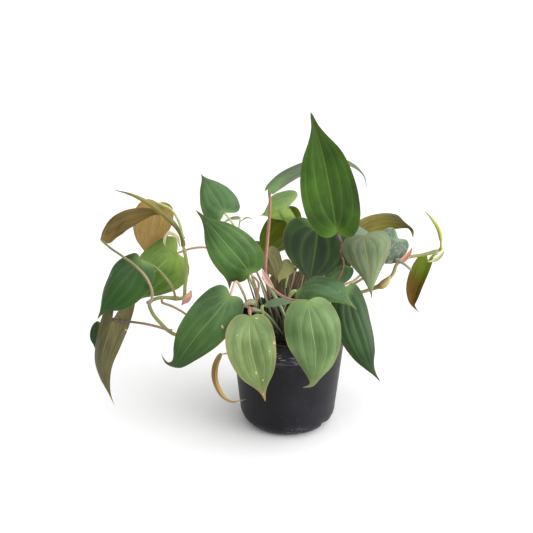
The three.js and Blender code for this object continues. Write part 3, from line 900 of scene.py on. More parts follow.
class StalkKind(Enum):
    """The colours that stalks and stems have."""

    GREEN = StalkFinish(0x7D9150, 0x98A768)
    TAN = StalkFinish(0x8F8A58, 0xA58A68)
    PINK = StalkFinish(0x926A58, 0x8C624C, fleck=0x6E503C)
    BLUSH = StalkFinish(0x93935C, 0xB08A76)
    BROWN = StalkFinish(0x86724E, 0x40302A)
    ROSY_FOOT = StalkFinish(0x9A7866, 0x5E6034)
    MOSSY = StalkFinish(0x8A7C54, 0x5A6630)


class RodKind(Enum):
    """What the rods of the frame are."""

    STEM = "stem_green"
    SHEATH = "sheath_pink"
    SHOOT = "shoot_yellow_green"


# ------------------------------------------------------------------ reading the frame
# Shares of the length at which the frame's large and small leaves have their rings.
STATIONS = (0.03, 0.08, 0.15, 0.25, 0.38, 0.52, 0.66, 0.8, 0.91, 0.975)
SMALL_STATIONS = (0.06, 0.13, 0.25, 0.42, 0.62, 0.82, 0.95)
# Share of the length and share of the full width, where the stalk hides the rings.
BASE_PROFILE = ((0.0, 0.0), (0.02, 0.16), (0.06, 0.44), (0.14, 0.76), (0.25, 0.96))
SWEEP_PEAK = 0.15
FEWEST_RINGS = 3
STALK_SINK = 0.5 * MM


class LoftReader:
    """Reads the rings of a lofted frame node back from its loose triangles."""

    def __init__(self, node: Object) -> None:
        """Weld a copy of the node's mesh and note which points are joined."""
        copy = bmesh.new()
        copy.from_mesh(node.data)
        bmesh.ops.remove_doubles(copy, verts=copy.verts, dist=WELD)
        copy.verts.index_update()
        self.name = node.name
        self.points = np.array([vertex.co[:] for vertex in copy.verts])
        self.near = [
            {edge.other_vert(vertex).index for edge in vertex.link_edges}
            for vertex in copy.verts
        ]
        copy.free()

    def _loop(self, layer: set[int]) -> list[int] | None:
        """Order a layer of points round its ring, or give None if it isn't one ring."""
        beside = {point: [n for n in self.near[point] if n in layer] for point in layer}
        if len(layer) != RING or any(len(found) != 2 for found in beside.values()):
            return None
        ordered = [min(layer)]
        while len(ordered) < RING:
            onward = [n for n in sorted(beside[ordered[-1]]) if n not in ordered]
            if not onward:
                return None
            ordered.append(onward[0])
        return ordered

    def _march(self, pole: int) -> list[Array]:
        """Rings met one after another from an end point, each lined up with the last."""
        seen, layer, rings = {pole}, {pole}, []
        while True:
            layer = {n for point in layer for n in self.near[point]} - seen
            ordered = self._loop(layer)
            if ordered is None:
                return rings
            seen |= layer
            ring = self.points[ordered]
            if rings:
                turns = [np.roll(r, s, axis=0) for r in (ring, ring[::-1]) for s in range(RING)]
                ring = min(turns, key=lambda turn: float(((turn - rings[-1]) ** 2).sum()))
            rings.append(ring)

    def sweeps(self) -> list[tuple[Array, Array]]:
        """Both ends of the loft.

        Returns:
            The end point and the clean rings behind it, for the end whose last clean
            ring is the smaller one and then for the other.
        """
        found = []
        for pole, joined in enumerate(self.near):
            if len(joined) == RING:
                rings = self._march(pole)
                if len(rings) >= FEWEST_RINGS:
                    found.append((self.points[pole], np.array(rings)))
        if len(found) != 2:
            raise ValueError(f"{self.name}: {len(found)} ends were found instead of two")
        return sorted(found, key=lambda end: float(np.ptp(end[1][-1], axis=0).max()))


def ring_radius(rings: Array) -> Array:
    """Mean radius of each ring."""
    centres = rings.mean(axis=1, keepdims=True)
    return np.linalg.norm(rings - centres, axis=2).mean(axis=1)


def base_width(share: float) -> float:
    """Width of a blade near its base, as a share of its full width."""
    return float(np.interp(share, *np.array(BASE_PROFILE).T))


def base_sweep(share: float) -> float:
    """How far the margins of a blade sweep back near its base."""
    return share * math.exp(1 - share / SWEEP_PEAK) * (1 - share)


@dataclass
class LeafForm:
    """A leaf's outline and stalk as read from its frame node.

    Attributes:
        knots: Shares of the length, from 0 at the stalk to 1 at the tip.
        upper: Five points across the upper side at each knot.
        outward: Direction that the upper side looks in at each knot.
        stalk: Centre line of the stalk, from its foot.
        girth: Radius of the stalk at each point of the centre line.
    """

    knots: Array
    upper: Array
    outward: Array
    stalk: Array
    girth: Array

    @classmethod
    def read(cls, node: Object, upper_side: Sequence[float]) -> LeafForm:
        """Read a leaf.

        Args:
            node: Frame node of the leaf.
            upper_side: Rough direction that its upper side looks in near the stalk.

        Returns:
            The leaf's form.
        """
        (foot, stalk_rings), (tip, rings) = LoftReader(node).sweeps()
        wanted = STATIONS if len(rings) >= len(STATIONS) - 2 else SMALL_STATIONS
        rings = cls._completed(rings[: len(wanted)], wanted[::-1])[::-1]
        breadth = np.linalg.norm(rings[:, :4] - rings[:, 4:], axis=2).sum(axis=0)
        first = int(np.argmax(breadth))
        order = [(first + step) % RING for step in range(5)]
        mirror = [(first - step) % RING for step in range(5)]
        one, other = rings[:, order], rings[:, mirror]
        rise = one[:5, 2] - other[:5, 2]
        if float((rise @ np.asarray(upper_side)).sum()) < 0:
            one, other = other, one
        outward = unit(one[:, 2] - other[:, 2])
        ahead = unit(one[2, 2] - one[1, 2])
        if float(np.cross(ahead, outward[1]) @ (one[1, 0] - one[1, 4])) < 0:
            one = one[:, ::-1]
        knots = np.array((0.0, *wanted, 1.0))
        joint = one[0, 2] - (one[1, 2] - one[0, 2]) * wanted[0] / (wanted[1] - wanted[0])
        upper = np.concatenate([np.tile(joint, (1, 5, 1)), one, np.tile(tip, (1, 5, 1))])
        sunk = joint - outward[0] * STALK_SINK
        centres = stalk_rings.mean(axis=1)
        radii = ring_radius(stalk_rings)
        return cls(
            knots,
            upper,
            np.concatenate([outward[:1], outward, outward[-1:]]),
            np.concatenate([foot[None], centres, sunk[None]]),
            np.concatenate([radii[:1] * 1.1, radii, radii[-1:] * 0.8]),
        )

    @staticmethod
    def _completed(rings: Array, stations: Sequence[float]) -> Array:
        """Add the rings that the stalk hides, from the tip towards the stalk.

        Args:
            rings: Clean rings, from the tip.
            stations: Their shares of the length, then those of the missing ones.

        Returns:
            A ring for every station.
        """
        last = len(rings) - 1
        at, ahead = rings[last], rings[last - 1]
        side = int(np.argmax(np.linalg.norm(at[:4] - at[4:], axis=1)))
        ridge = [(side + 2) % RING, (side + 6) % RING]
        spine = at[ridge].mean(axis=0)
        step = (ahead[ridge].mean(axis=0) - spine) / (stations[last - 1] - stations[last])
        along = unit(step)
        offset = at - spine
        forward = (offset @ along)[:, None] * along
        added = []
        for station in stations[last + 1 :]:
            centre = spine - step * (stations[last] - station)
            added.append(
                centre
                + (offset - forward) * base_width(station) / base_width(stations[last])
                + forward * base_sweep(station) / base_sweep(stations[last])
            )
        return np.concatenate([rings, np.array(added).reshape(-1, RING, 3)])


# ------------------------------------------------------------------ tubes on a path
class TubeGrowth(GrowthSheet):
    """Round stalks along a line of points, slightly uneven, as Geometry Nodes."""

    GIRTH = "girth"
    UNEVENNESS = 0.35 * MM
    UNEVENNESS_SCALE = 160.0

    def __init__(self) -> None:
        """Write the tree."""
        super().__init__("stalk along a path")
        sides = self.ask("Sides", "Int")
        swell = self.ask("Unevenness", "Float")
        scale = self.ask("Unevenness Scale", "Float")
        seed = self.ask("Seed", "Float")
        skin = self.ask("Skin", "Material")
        line = self.node("GeometryNodeMeshToCurve", {0: self.entry.outputs[0]}).outputs[0]
        girth = self.node(
            "GeometryNodeInputNamedAttribute", {"Name": self.GIRTH}, data_type="FLOAT"
        ).outputs[0]
        line = self.node("GeometryNodeSetCurveRadius", {0: line, "Radius": girth}).outputs[0]
        ring = self.node(
            "GeometryNodeCurvePrimitiveCircle", {"Resolution": sides, "Radius": 1.0}
        ).outputs[0]
        tube = self.node(
            "GeometryNodeCurveToMesh", {"Curve": line, "Profile Curve": ring, "Fill Caps": True}
        )
        if "Scale" in tube.inputs:
            self.tree.links.new(girth, tube.inputs["Scale"])
        place = self.node("GeometryNodeInputPosition").outputs[0]
        cloud = self.node(
            "ShaderNodeTexNoise",
            {"Vector": place, "W": seed, "Scale": scale, "Detail": 2.0},
            noise_dimensions="4D",
        ).outputs[0]
        push = self.product(self.math("SUBTRACT", cloud, 0.5), swell)
        shift = self.scaled(self.node("GeometryNodeInputNormal").outputs[0], push)
        moved = self.node("GeometryNodeSetPosition", {0: tube.outputs[0], "Offset": shift})
        self.close(moved.outputs[0], skin)

    def along(
        self,
        name: str,
        points: Array,
        girth: Array,
        skin: Material,
        sides: int,
        seed: int,
    ) -> Mesh:
        """Grow one tube.

        Args:
            name: Name of the mesh.
            points: Centre line.
            girth: Radius at each point.
            skin: Material.
            sides: How many sides the tube has.
            seed: Fixes its unevenness.

        Returns:
            The tube.
        """
        steps = [(i, i + 1) for i in range(len(points) - 1)]
        line = new_mesh(name, points.tolist(), [], steps)
        chord = chord_knots(points)
        store(line, self.GIRTH, girth)
        store(line, ALONG, chord / chord[-1])
        return self.grow(
            new_object(name + " line", line),
            name,
            {
                "Sides": sides,
                "Unevenness": self.UNEVENNESS,
                "Unevenness Scale": self.UNEVENNESS_SCALE,
                "Seed": float(seed),
                "Skin": skin,
            },
        )


NEAR_SOIL = 2 * MM
ROOT_DEPTH = 6 * MM
ROOT_SWELL = 1.1
THINNEST = 0.1 * MM


def rooted(points: Array, girth: Array) -> tuple[Array, Array]:
    """Carry a stalk whose foot stands on the potting mix a little way down into it."""
    if points[0, 2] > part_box("soil")[1][2] + NEAR_SOIL:
        return points, girth
    below = points[0] - np.array((0.0, 0.0, ROOT_DEPTH))
    return np.concatenate([below[None], points]), np.concatenate([girth[:1] * ROOT_SWELL, girth])


def fine_line(points: Array, girth: Array, step: float) -> tuple[Array, Array]:
    """Resample a centre line and its radii at an even step."""
    chord = chord_knots(points)
    at = np.linspace(0.0, chord[-1], max(6, round(chord[-1] / step)))
    return through(chord, points, at), np.maximum(through(chord, girth, at), THINNEST)


# ------------------------------------------------------------------ leaves
@dataclass(frozen=True)
class LeafPlan:
    """What one leaf looks like.

    Attributes:
        kind: Its surface.
        upper: Rough direction that its upper side looks in near the stalk.
        tone: Lightening, from -1 to 1; where it lifts a leaf in shade or the backlit leaf, it is
            painted light.
        painted_sheen: Strength of the painted sheen of the overhead light, a pale grey-green on
            surfaces that look up.
        stalk: Colour of its stalk.
    """

    kind: LeafKind
    upper: tuple[float, float, float]
    tone: float = 0.0
    painted_sheen: float = 0.0
    stalk: StalkKind = StalkKind.TAN


# Each row: kind, upper side, tone, weight of the painted sheen of the overhead light, stalk colour.
LEAVES = {
    "leaf_crown": LeafPlan(LeafKind.CROWN, (-0.3, -0.9, 0.3), 0.0, 0.1, StalkKind.BROWN),
    "leaf_arching": LeafPlan(LeafKind.GREYED, (-0.1, -0.5, 0.85), 0.1, 0.2, StalkKind.PINK),
    # Tone lifts this leaf as painted light standing for light shining through it.
    "leaf_backlit": LeafPlan(LeafKind.BRIGHT, (0.15, -0.9, 0.4), 0.45, 0.7, StalkKind.BROWN),
    "leaf_upper_left": LeafPlan(LeafKind.MATURE, (-0.1, -0.75, 0.65), -0.06, 0.22, StalkKind.GREEN),
    "leaf_left_centre": LeafPlan(LeafKind.MATURE, (-0.1, -0.9, 0.42), -0.1, 0.2, StalkKind.BLUSH),
    "leaf_sprig": LeafPlan(LeafKind.PALE, (0, -0.1, 1), 1.0, 0.5, StalkKind.GREEN),
    "leaf_olive_back": LeafPlan(LeafKind.OLIVE, (0.1, 0.85, 0.5), 0.0, 0.1, StalkKind.TAN),
    "leaf_centre": LeafPlan(LeafKind.DARK, (0, -0.85, 0.5), -0.3, 0.0, StalkKind.BROWN),
    "leaf_right_centre": LeafPlan(LeafKind.SILVER, (-0.25, -0.66, 0.7), 0.0, 0.2, StalkKind.BLUSH),
    "leaf_low_right_centre": LeafPlan(
        LeafKind.MATURE, (0.1, -0.3, 0.95), -0.05, 0.2, StalkKind.GREEN
    ),
    # Tone lifts this leaf as painted light where it sits in shade.
    "leaf_inner_small": LeafPlan(LeafKind.LIGHT, (0, -0.25, 0.97), 0.4, 0.4, StalkKind.GREEN),
    "leaf_front_right": LeafPlan(LeafKind.LIGHT, (-0.05, -0.9, 0.42), 0.0, 0.08, StalkKind.PINK),
    "leaf_front_left": LeafPlan(LeafKind.SPECKLED, (-0.1, -0.9, 0.42), 0.0, 0.15, StalkKind.PINK),
    "leaf_low_left": LeafPlan(LeafKind.MATURE, (-0.15, -0.9, 0.4), -0.12, 0.2, StalkKind.BLUSH),
    "leaf_low_right": LeafPlan(LeafKind.DARK, (0.15, -0.85, 0.5), 0.02, 0.1, StalkKind.PINK),
    "leaf_olive_right": LeafPlan(LeafKind.KHAKI, (0, 0.75, 0.66), 0.15, 0.0, StalkKind.TAN),
    "leaf_blue_strip": LeafPlan(LeafKind.SILVER, (0, -0.35, 0.93), 0.1, 0.7, StalkKind.GREEN),
    "leaf_mottled": LeafPlan(LeafKind.MOTTLED, (0.3, -0.8, 0.5), 0.0, 0.2, StalkKind.TAN),
    "leaf_hanging_right": LeafPlan(LeafKind.BRASSY, (-0.75, -0.6, 0.1), 0.0, 0.0, StalkKind.GREEN),
    "leaf_dark_small": LeafPlan(LeafKind.MATURE, (0, -0.8, 0.6), 0.3, 0.2, StalkKind.PINK),
    "leaf_grey_inner": LeafPlan(LeafKind.SILVER, (0.2, 0.9, -0.3), -0.5, 0.3, StalkKind.BROWN),
    # Tone lifts this leaf as painted light where it sits in shade.
    "leaf_pale_inner": LeafPlan(LeafKind.PALE, (0, -0.8, 0.6), 0.6, 0.1, StalkKind.BLUSH),
    "leaf_bronze_arch": LeafPlan(
        LeafKind.BRONZE, (-0.3, -0.3, 0.9), 0.0, 0.0, StalkKind.ROSY_FOOT
    ),
    "leaf_bronze_back": LeafPlan(LeafKind.AMBER, (-0.1, 0.95, 0.25), 0.0, 0.0, StalkKind.GREEN),
    "leaf_bright_left": LeafPlan(LeafKind.BRIGHT, (-0.15, -0.8, 0.55), 0.0, 0.15, StalkKind.TAN),
    "leaf_dark_left": LeafPlan(LeafKind.DARK, (-0.35, -0.8, 0.5), 0.9, 0.2, StalkKind.MOSSY),
    "leaf_olive_trailing": LeafPlan(LeafKind.DUSKY, (0.35, 0.85, 0.3), 0.0, 0.0, StalkKind.BROWN),
    "leaf_tucked_left": LeafPlan(LeafKind.DARK, (-0.3, -0.9, 0.3), 0.0, 0.0, StalkKind.BROWN),
    "leaf_curled_low": LeafPlan(LeafKind.AMBER, (-0.8, -0.6, 0), -0.1, 0.0, StalkKind.GREEN),
    "leaf_back_left": LeafPlan(LeafKind.MATURE, (-0.3, 0.8, 0.5), 0.0, 0.3, StalkKind.BLUSH),
    "leaf_back_right": LeafPlan(LeafKind.MATURE, (0.3, 0.8, 0.5), -0.1, 0.3, StalkKind.TAN),
    "leaf_back_low": LeafPlan(LeafKind.DARK, (0, 0.85, 0.5), 0.1, 0.3, StalkKind.GREEN),
}


@dataclass
class Foliage:
    """All the leaves, each a thin velvety blade on its own stalk.

    Attributes:
        thickness: Thickness of a blade at its middle.
        groove: Depth of the veins in the upper side.
        vein_width: Half width of a groove.
        quilt: How far the blade swells up between the veins.
        quilt_width: How far from a vein that swelling starts.
        keel: Height of the midrib under the blade, next to the stalk.
        ripple: Height of the waves along the margin of a large leaf.
        drip: How much narrower the blade is near its drip tip.
        rows: Rows of points along a large blade.
        columns: Columns of points across a large blade; an odd number.
        small_length: Length under which a blade has fewer points.
        stalk_sides: Sides of a stalk.
        stalk_step: Spacing of points along a stalk.
    """

    thickness: float = 0.42 * MM
    groove: float = 0.42 * MM
    vein_width: float = 1.1 * MM
    quilt: float = 0.55 * MM
    quilt_width: float = 4.5 * MM
    keel: float = 0.85 * MM
    ripple: float = 0.7 * MM
    drip: float = 0.42
    rows: int = 46
    columns: int = 41
    small_length: float = 55 * MM
    stalk_sides: int = 12
    stalk_step: float = 2.2 * MM

    # Half width from which a blade shows its whole relief.
    FULL_RELIEF = 24 * MM
    # Waves along a margin, how far the two margins are out of step, and from leaf to leaf.
    WAVES = 2.3
    SIDE_PHASE = 1.9
    LEAF_PHASE = 2.4
    RIB_WIDTH = 0.9 * MM
    THINNEST_EDGE = 0.04 * MM
    SMALL_SCALE = 0.6

    def __post_init__(self) -> None:
        """Start with no material made."""
        self._skins: dict[Enum, list[Material]] = {}

    def _blade_skins(self, kind: LeafKind) -> list[Material]:
        """Upper and underside materials of one kind of leaf."""
        if kind not in self._skins:
            label = f"leaf {kind.name.lower()}"
            self._skins[kind] = [
                kind.value.blade(f"{label} upper", True),
                kind.value.blade(f"{label} underside", False),
            ]
        return self._skins[kind]

    def _stalk_skin(self, kind: StalkKind) -> Material:
        """Material of one colour of stalk."""
        if kind not in self._skins:
            self._skins[kind] = [kind.value.skin(f"stalk {kind.name.lower()}")]
        return self._skins[kind][0]

    def _surfaces(
        self, form: LeafForm, along: Array, across: Array, phase: float
    ) -> tuple[Array, Array]:
        """Upper and lower skin of a blade.

        Args:
            form: Outline read from the frame.
            along: Shares of the length, one for each row.
            across: Shares of the half width, from -1 to 1, one for each column.
            phase: Shifts the waves along the margins.

        Returns:
            Points of the upper skin and of the lower skin, rows by columns.
        """
        quarters = np.array((-1.0, -0.5, 0.0, 0.5, 1.0))
        strips = through(form.knots, form.upper[:, ::-1], along)
        sheet = through(quarters, strips.transpose(1, 0, 2), across).transpose(1, 0, 2)
        ridge = sheet[:, across.size // 2, None]
        narrowing = 1 - self.drip * soft_step(along, 0.66, 0.94)[:, None, None]
        sheet = ridge + (sheet - ridge) * narrowing
        ahead = np.gradient(sheet, axis=0)
        aside = np.gradient(sheet, axis=1)
        ahead[0], aside[0] = ahead[1], aside[1]
        ahead[-1], aside[-1] = ahead[-2], aside[-2]
        outward = unit(np.cross(aside, ahead))
        guide = unit(through(form.knots, form.outward, along))[:, None]
        if float((outward * guide).sum()) < 0:
            outward = -outward
        half = 0.5 * np.linalg.norm(sheet[:, -1] - sheet[:, 0], axis=1)[:, None]
        share, rows = np.abs(across)[None, :], along[:, None]

        sunk = 0.8 * np.exp(-((share * half / self.vein_width) ** 2)) * (1 - 0.6 * rows)
        broad = np.exp(-((share * half / self.quilt_width) ** 2))
        for vein in VEINS:
            off = (share - vein.across(rows)) * half
            shown = soft_step(rows - vein.start, 0.0, 0.08) * soft_step(1 - rows, 0.03, 0.3)
            weight = vein.strength * shown
            sunk = np.maximum(sunk, weight * np.exp(-((off / self.vein_width) ** 2)))
            broad = np.maximum(broad, weight * np.exp(-((off / self.quilt_width) ** 2)))
        size = np.clip(half / self.FULL_RELIEF, 0.0, 1.0)
        sides = np.where(across < 0, self.SIDE_PHASE, 0.0)[None, :]
        waves = np.sin(2 * math.pi * self.WAVES * rows + phase + sides) * share**3
        ends = soft_step(rows, 0.0, 0.06) * soft_step(1 - rows, 0.0, 0.08)
        relief = ends * size * (self.ripple * waves - self.groove * sunk - self.quilt * broad)
        top = sheet + outward * relief[..., None]

        body = self.thickness * (1 - 0.6 * share**2) * (0.5 + 0.5 * size)
        rib = self.keel * (1 - rows) ** 1.1 * np.exp(-((share * half / self.RIB_WIDTH) ** 2))
        swollen = 0.3 * self.groove * sunk * size
        below = top - outward * (ends * (body + rib + swollen) + self.THINNEST_EDGE)[..., None]
        return top, below

    def _blade(self, name: str, form: LeafForm, plan: LeafPlan, index: int) -> Mesh:
        """Closed mesh of one blade.

        Args:
            name: Name of the mesh.
            form: Outline read from the frame.
            plan: Look of the leaf.
            index: Number of the leaf, which sets the waves of its margins.

        Returns:
            The mesh, with its chart of length and width, tone and painted sheen weight.
        """
        length = chord_knots(form.upper[:, 2])[-1]
        scale = 1.0 if length > self.small_length else self.SMALL_SCALE
        rows, columns = round(self.rows * scale), 2 * round(self.columns * scale / 2) + 1
        along = np.linspace(0.0, 1.0, rows) ** 1.35
        spread = np.linspace(-1.0, 1.0, columns)
        across = np.sign(spread) * np.abs(spread) ** 0.9
        top, below = self._surfaces(form, along, across, self.LEAF_PHASE * index)

        last, edge = rows - 1, columns - 1
        points = [top[0, 0], top[last, 0]]
        numbers = np.zeros((2, rows, columns), dtype=int)
        numbers[:, last] = 1
        for row in range(1, last):
            for column in range(columns):
                numbers[0, row, column] = len(points)
                points.append(top[row, column])
            for column in range(1, edge):
                numbers[1, row, column] = len(points)
                points.append(below[row, column])
            numbers[1, row, 0] = numbers[0, row, 0]
            numbers[1, row, edge] = numbers[0, row, edge]

        faces, chart, slots = [], [], []
        for side in (0, 1):
            for row in range(last):
                for column in range(edge):
                    corners = [
                        (row, column), (row, column + 1), (row + 1, column + 1), (row + 1, column)
                    ]
                    if row == 0:
                        corners = corners[1:]
                    elif row == last - 1:
                        corners = corners[:3]
                    if side:
                        corners = corners[::-1]
                    faces.append([int(numbers[side, r, c]) for r, c in corners])
                    chart += [(along[r], 0.5 + 0.5 * across[c]) for r, c in corners]
                    slots.append(side)
        mesh = new_mesh(name, [tuple(point) for point in points], faces)
        store_chart(mesh, chart)
        mesh.polygons.foreach_set("material_index", slots)
        for skin in self._blade_skins(plan.kind):
            mesh.materials.append(skin)
        store(mesh, TONE, [plan.tone] * len(points))
        store(mesh, PAINTED_SHEEN, [plan.painted_sheen] * len(points))
        turn_outwards(mesh)
        smooth(mesh, 60.0)
        return mesh

    def build(self, nodes: dict[str, Object], tubes: TubeGrowth) -> None:
        """Make every leaf.

        Args:
            nodes: The frame's nodes by name.
            tubes: Tree that grows the stalks.
        """
        for index, (node, plan) in enumerate(LEAVES.items()):
            form = LeafForm.read(nodes[node], plan.upper)
            name = f"{node}_blade"
            piece = new_object(name, self._blade(name, form, plan, index))
            centre, girth = fine_line(*rooted(form.stalk, form.girth), self.stalk_step)
            run = chord_knots(centre)
            girth = girth * (1 + 0.45 * np.exp(-run / (3.5 * MM)))
            girth = girth * (1 + 0.22 * np.exp(-((run[-1] - run - 4 * MM) / (3 * MM)) ** 2))
            label, skin = f"{node} stalk", self._stalk_skin(plan.stalk)
            mesh = tubes.along(label, centre, girth, skin, self.stalk_sides, index)
            turn_outwards(mesh)
            join([piece, new_object(label, mesh)])
            settle(piece, node)


def turn_outwards(mesh: Mesh) -> None:
    """Turn a closed mesh the right way out if its volume is negative."""
    shape = bmesh.new()
    shape.from_mesh(mesh)
    if shape.calc_volume(signed=True) < 0:
        bmesh.ops.reverse_faces(shape, faces=shape.faces)
        shape.to_mesh(mesh)
    shape.free()


# ------------------------------------------------------------------ stems and wraps
@dataclass(frozen=True)
class RodPlan:
    """What one rod of the frame looks like.

    Attributes:
        kind: What it is.
        skin: Its finish.
        joined: Stem that its foot grows out of, where it carries on from one.
    """

    kind: RodKind
    skin: StalkFinish | SheathFinish
    joined: str | None = None


VINE = StalkFinish(0x768048, 0x848C50, fleck=0x85664A)
OLIVE_VINE = StalkFinish(0x746F38, 0x868452, fleck=0x7A5E44)
GREY_ROOT = StalkFinish(0x55604A, 0x6A7458, fleck=0x6B5A48)
YOUNG_STEM = StalkFinish(0x6E7C48, 0x7F9166, fleck=0x8A7458)
TAN_STEM = StalkFinish(0x8A7C58, 0x8C7456)
DRY_STUB = StalkFinish(0x5E4A36, 0x8C6E58, fleck=0x3E2E22, roughness=0.7)
SHADED_STALK = StalkFinish(0x1A2012, 0x2E3A1C, fleck=0x221A12)
ROSE_SHEATH = SheathFinish(0xB4806E, 0xC89A86, 0x96604C)
BLUSH_SHEATH = SheathFinish(0x656A44, 0x796F56, 0x6C5540)
CREAM_SHEATH = SheathFinish(0xA8A478, 0xC2BC98, 0x8A7C50)
PALE_SHEATH = SheathFinish(0x93925C, 0xB9B794, 0x828048)
TAN_SHEATH = SheathFinish(0xC0A08C, 0xB08A76, 0x8F6A50)
ROLLED_LEAF = SheathFinish(0x534E0A, 0x746C17, 0x483914, stripes=9.0, roughness=0.42)
FRESH_SHOOT = SheathFinish(0x747616, 0x939521, 0x69502B, stripes=9.0, roughness=0.42)
ROSY_BUD = SheathFinish(0x737737, 0x93704C, 0xA66C5B, stripes=7.0, roughness=0.42)

RODS = {
    "vine_left": RodPlan(RodKind.STEM, VINE),
    "vine_right": RodPlan(RodKind.STEM, OLIVE_VINE),
    "runner_left": RodPlan(RodKind.STEM, TAN_STEM, "vine_left"),
    "aerial_root_right": RodPlan(RodKind.STEM, GREY_ROOT),
    "stem_front_left": RodPlan(RodKind.STEM, YOUNG_STEM),
    "stem_front_right": RodPlan(RodKind.STEM, YOUNG_STEM),
    "stem_centre": RodPlan(RodKind.STEM, YOUNG_STEM),
    "sheath_front_right": RodPlan(RodKind.SHEATH, TAN_SHEATH),
    "sheath_front_left": RodPlan(RodKind.SHEATH, BLUSH_SHEATH),
    "sheath_left_node": RodPlan(RodKind.SHEATH, ROSE_SHEATH),
    "sheath_left_hook": RodPlan(RodKind.SHEATH, CREAM_SHEATH),
    "sheath_right_node": RodPlan(RodKind.SHEATH, ROSE_SHEATH),
    "sheath_right_end": RodPlan(RodKind.SHEATH, PALE_SHEATH),
    "shoot_left": RodPlan(RodKind.SHOOT, ROLLED_LEAF, "vine_left"),
    "shoot_right": RodPlan(RodKind.SHOOT, FRESH_SHOOT, "vine_right"),
    "shoot_upper_left": RodPlan(RodKind.SHOOT, FRESH_SHOOT),
    "bud_right_node": RodPlan(RodKind.SHOOT, ROSY_BUD),
}


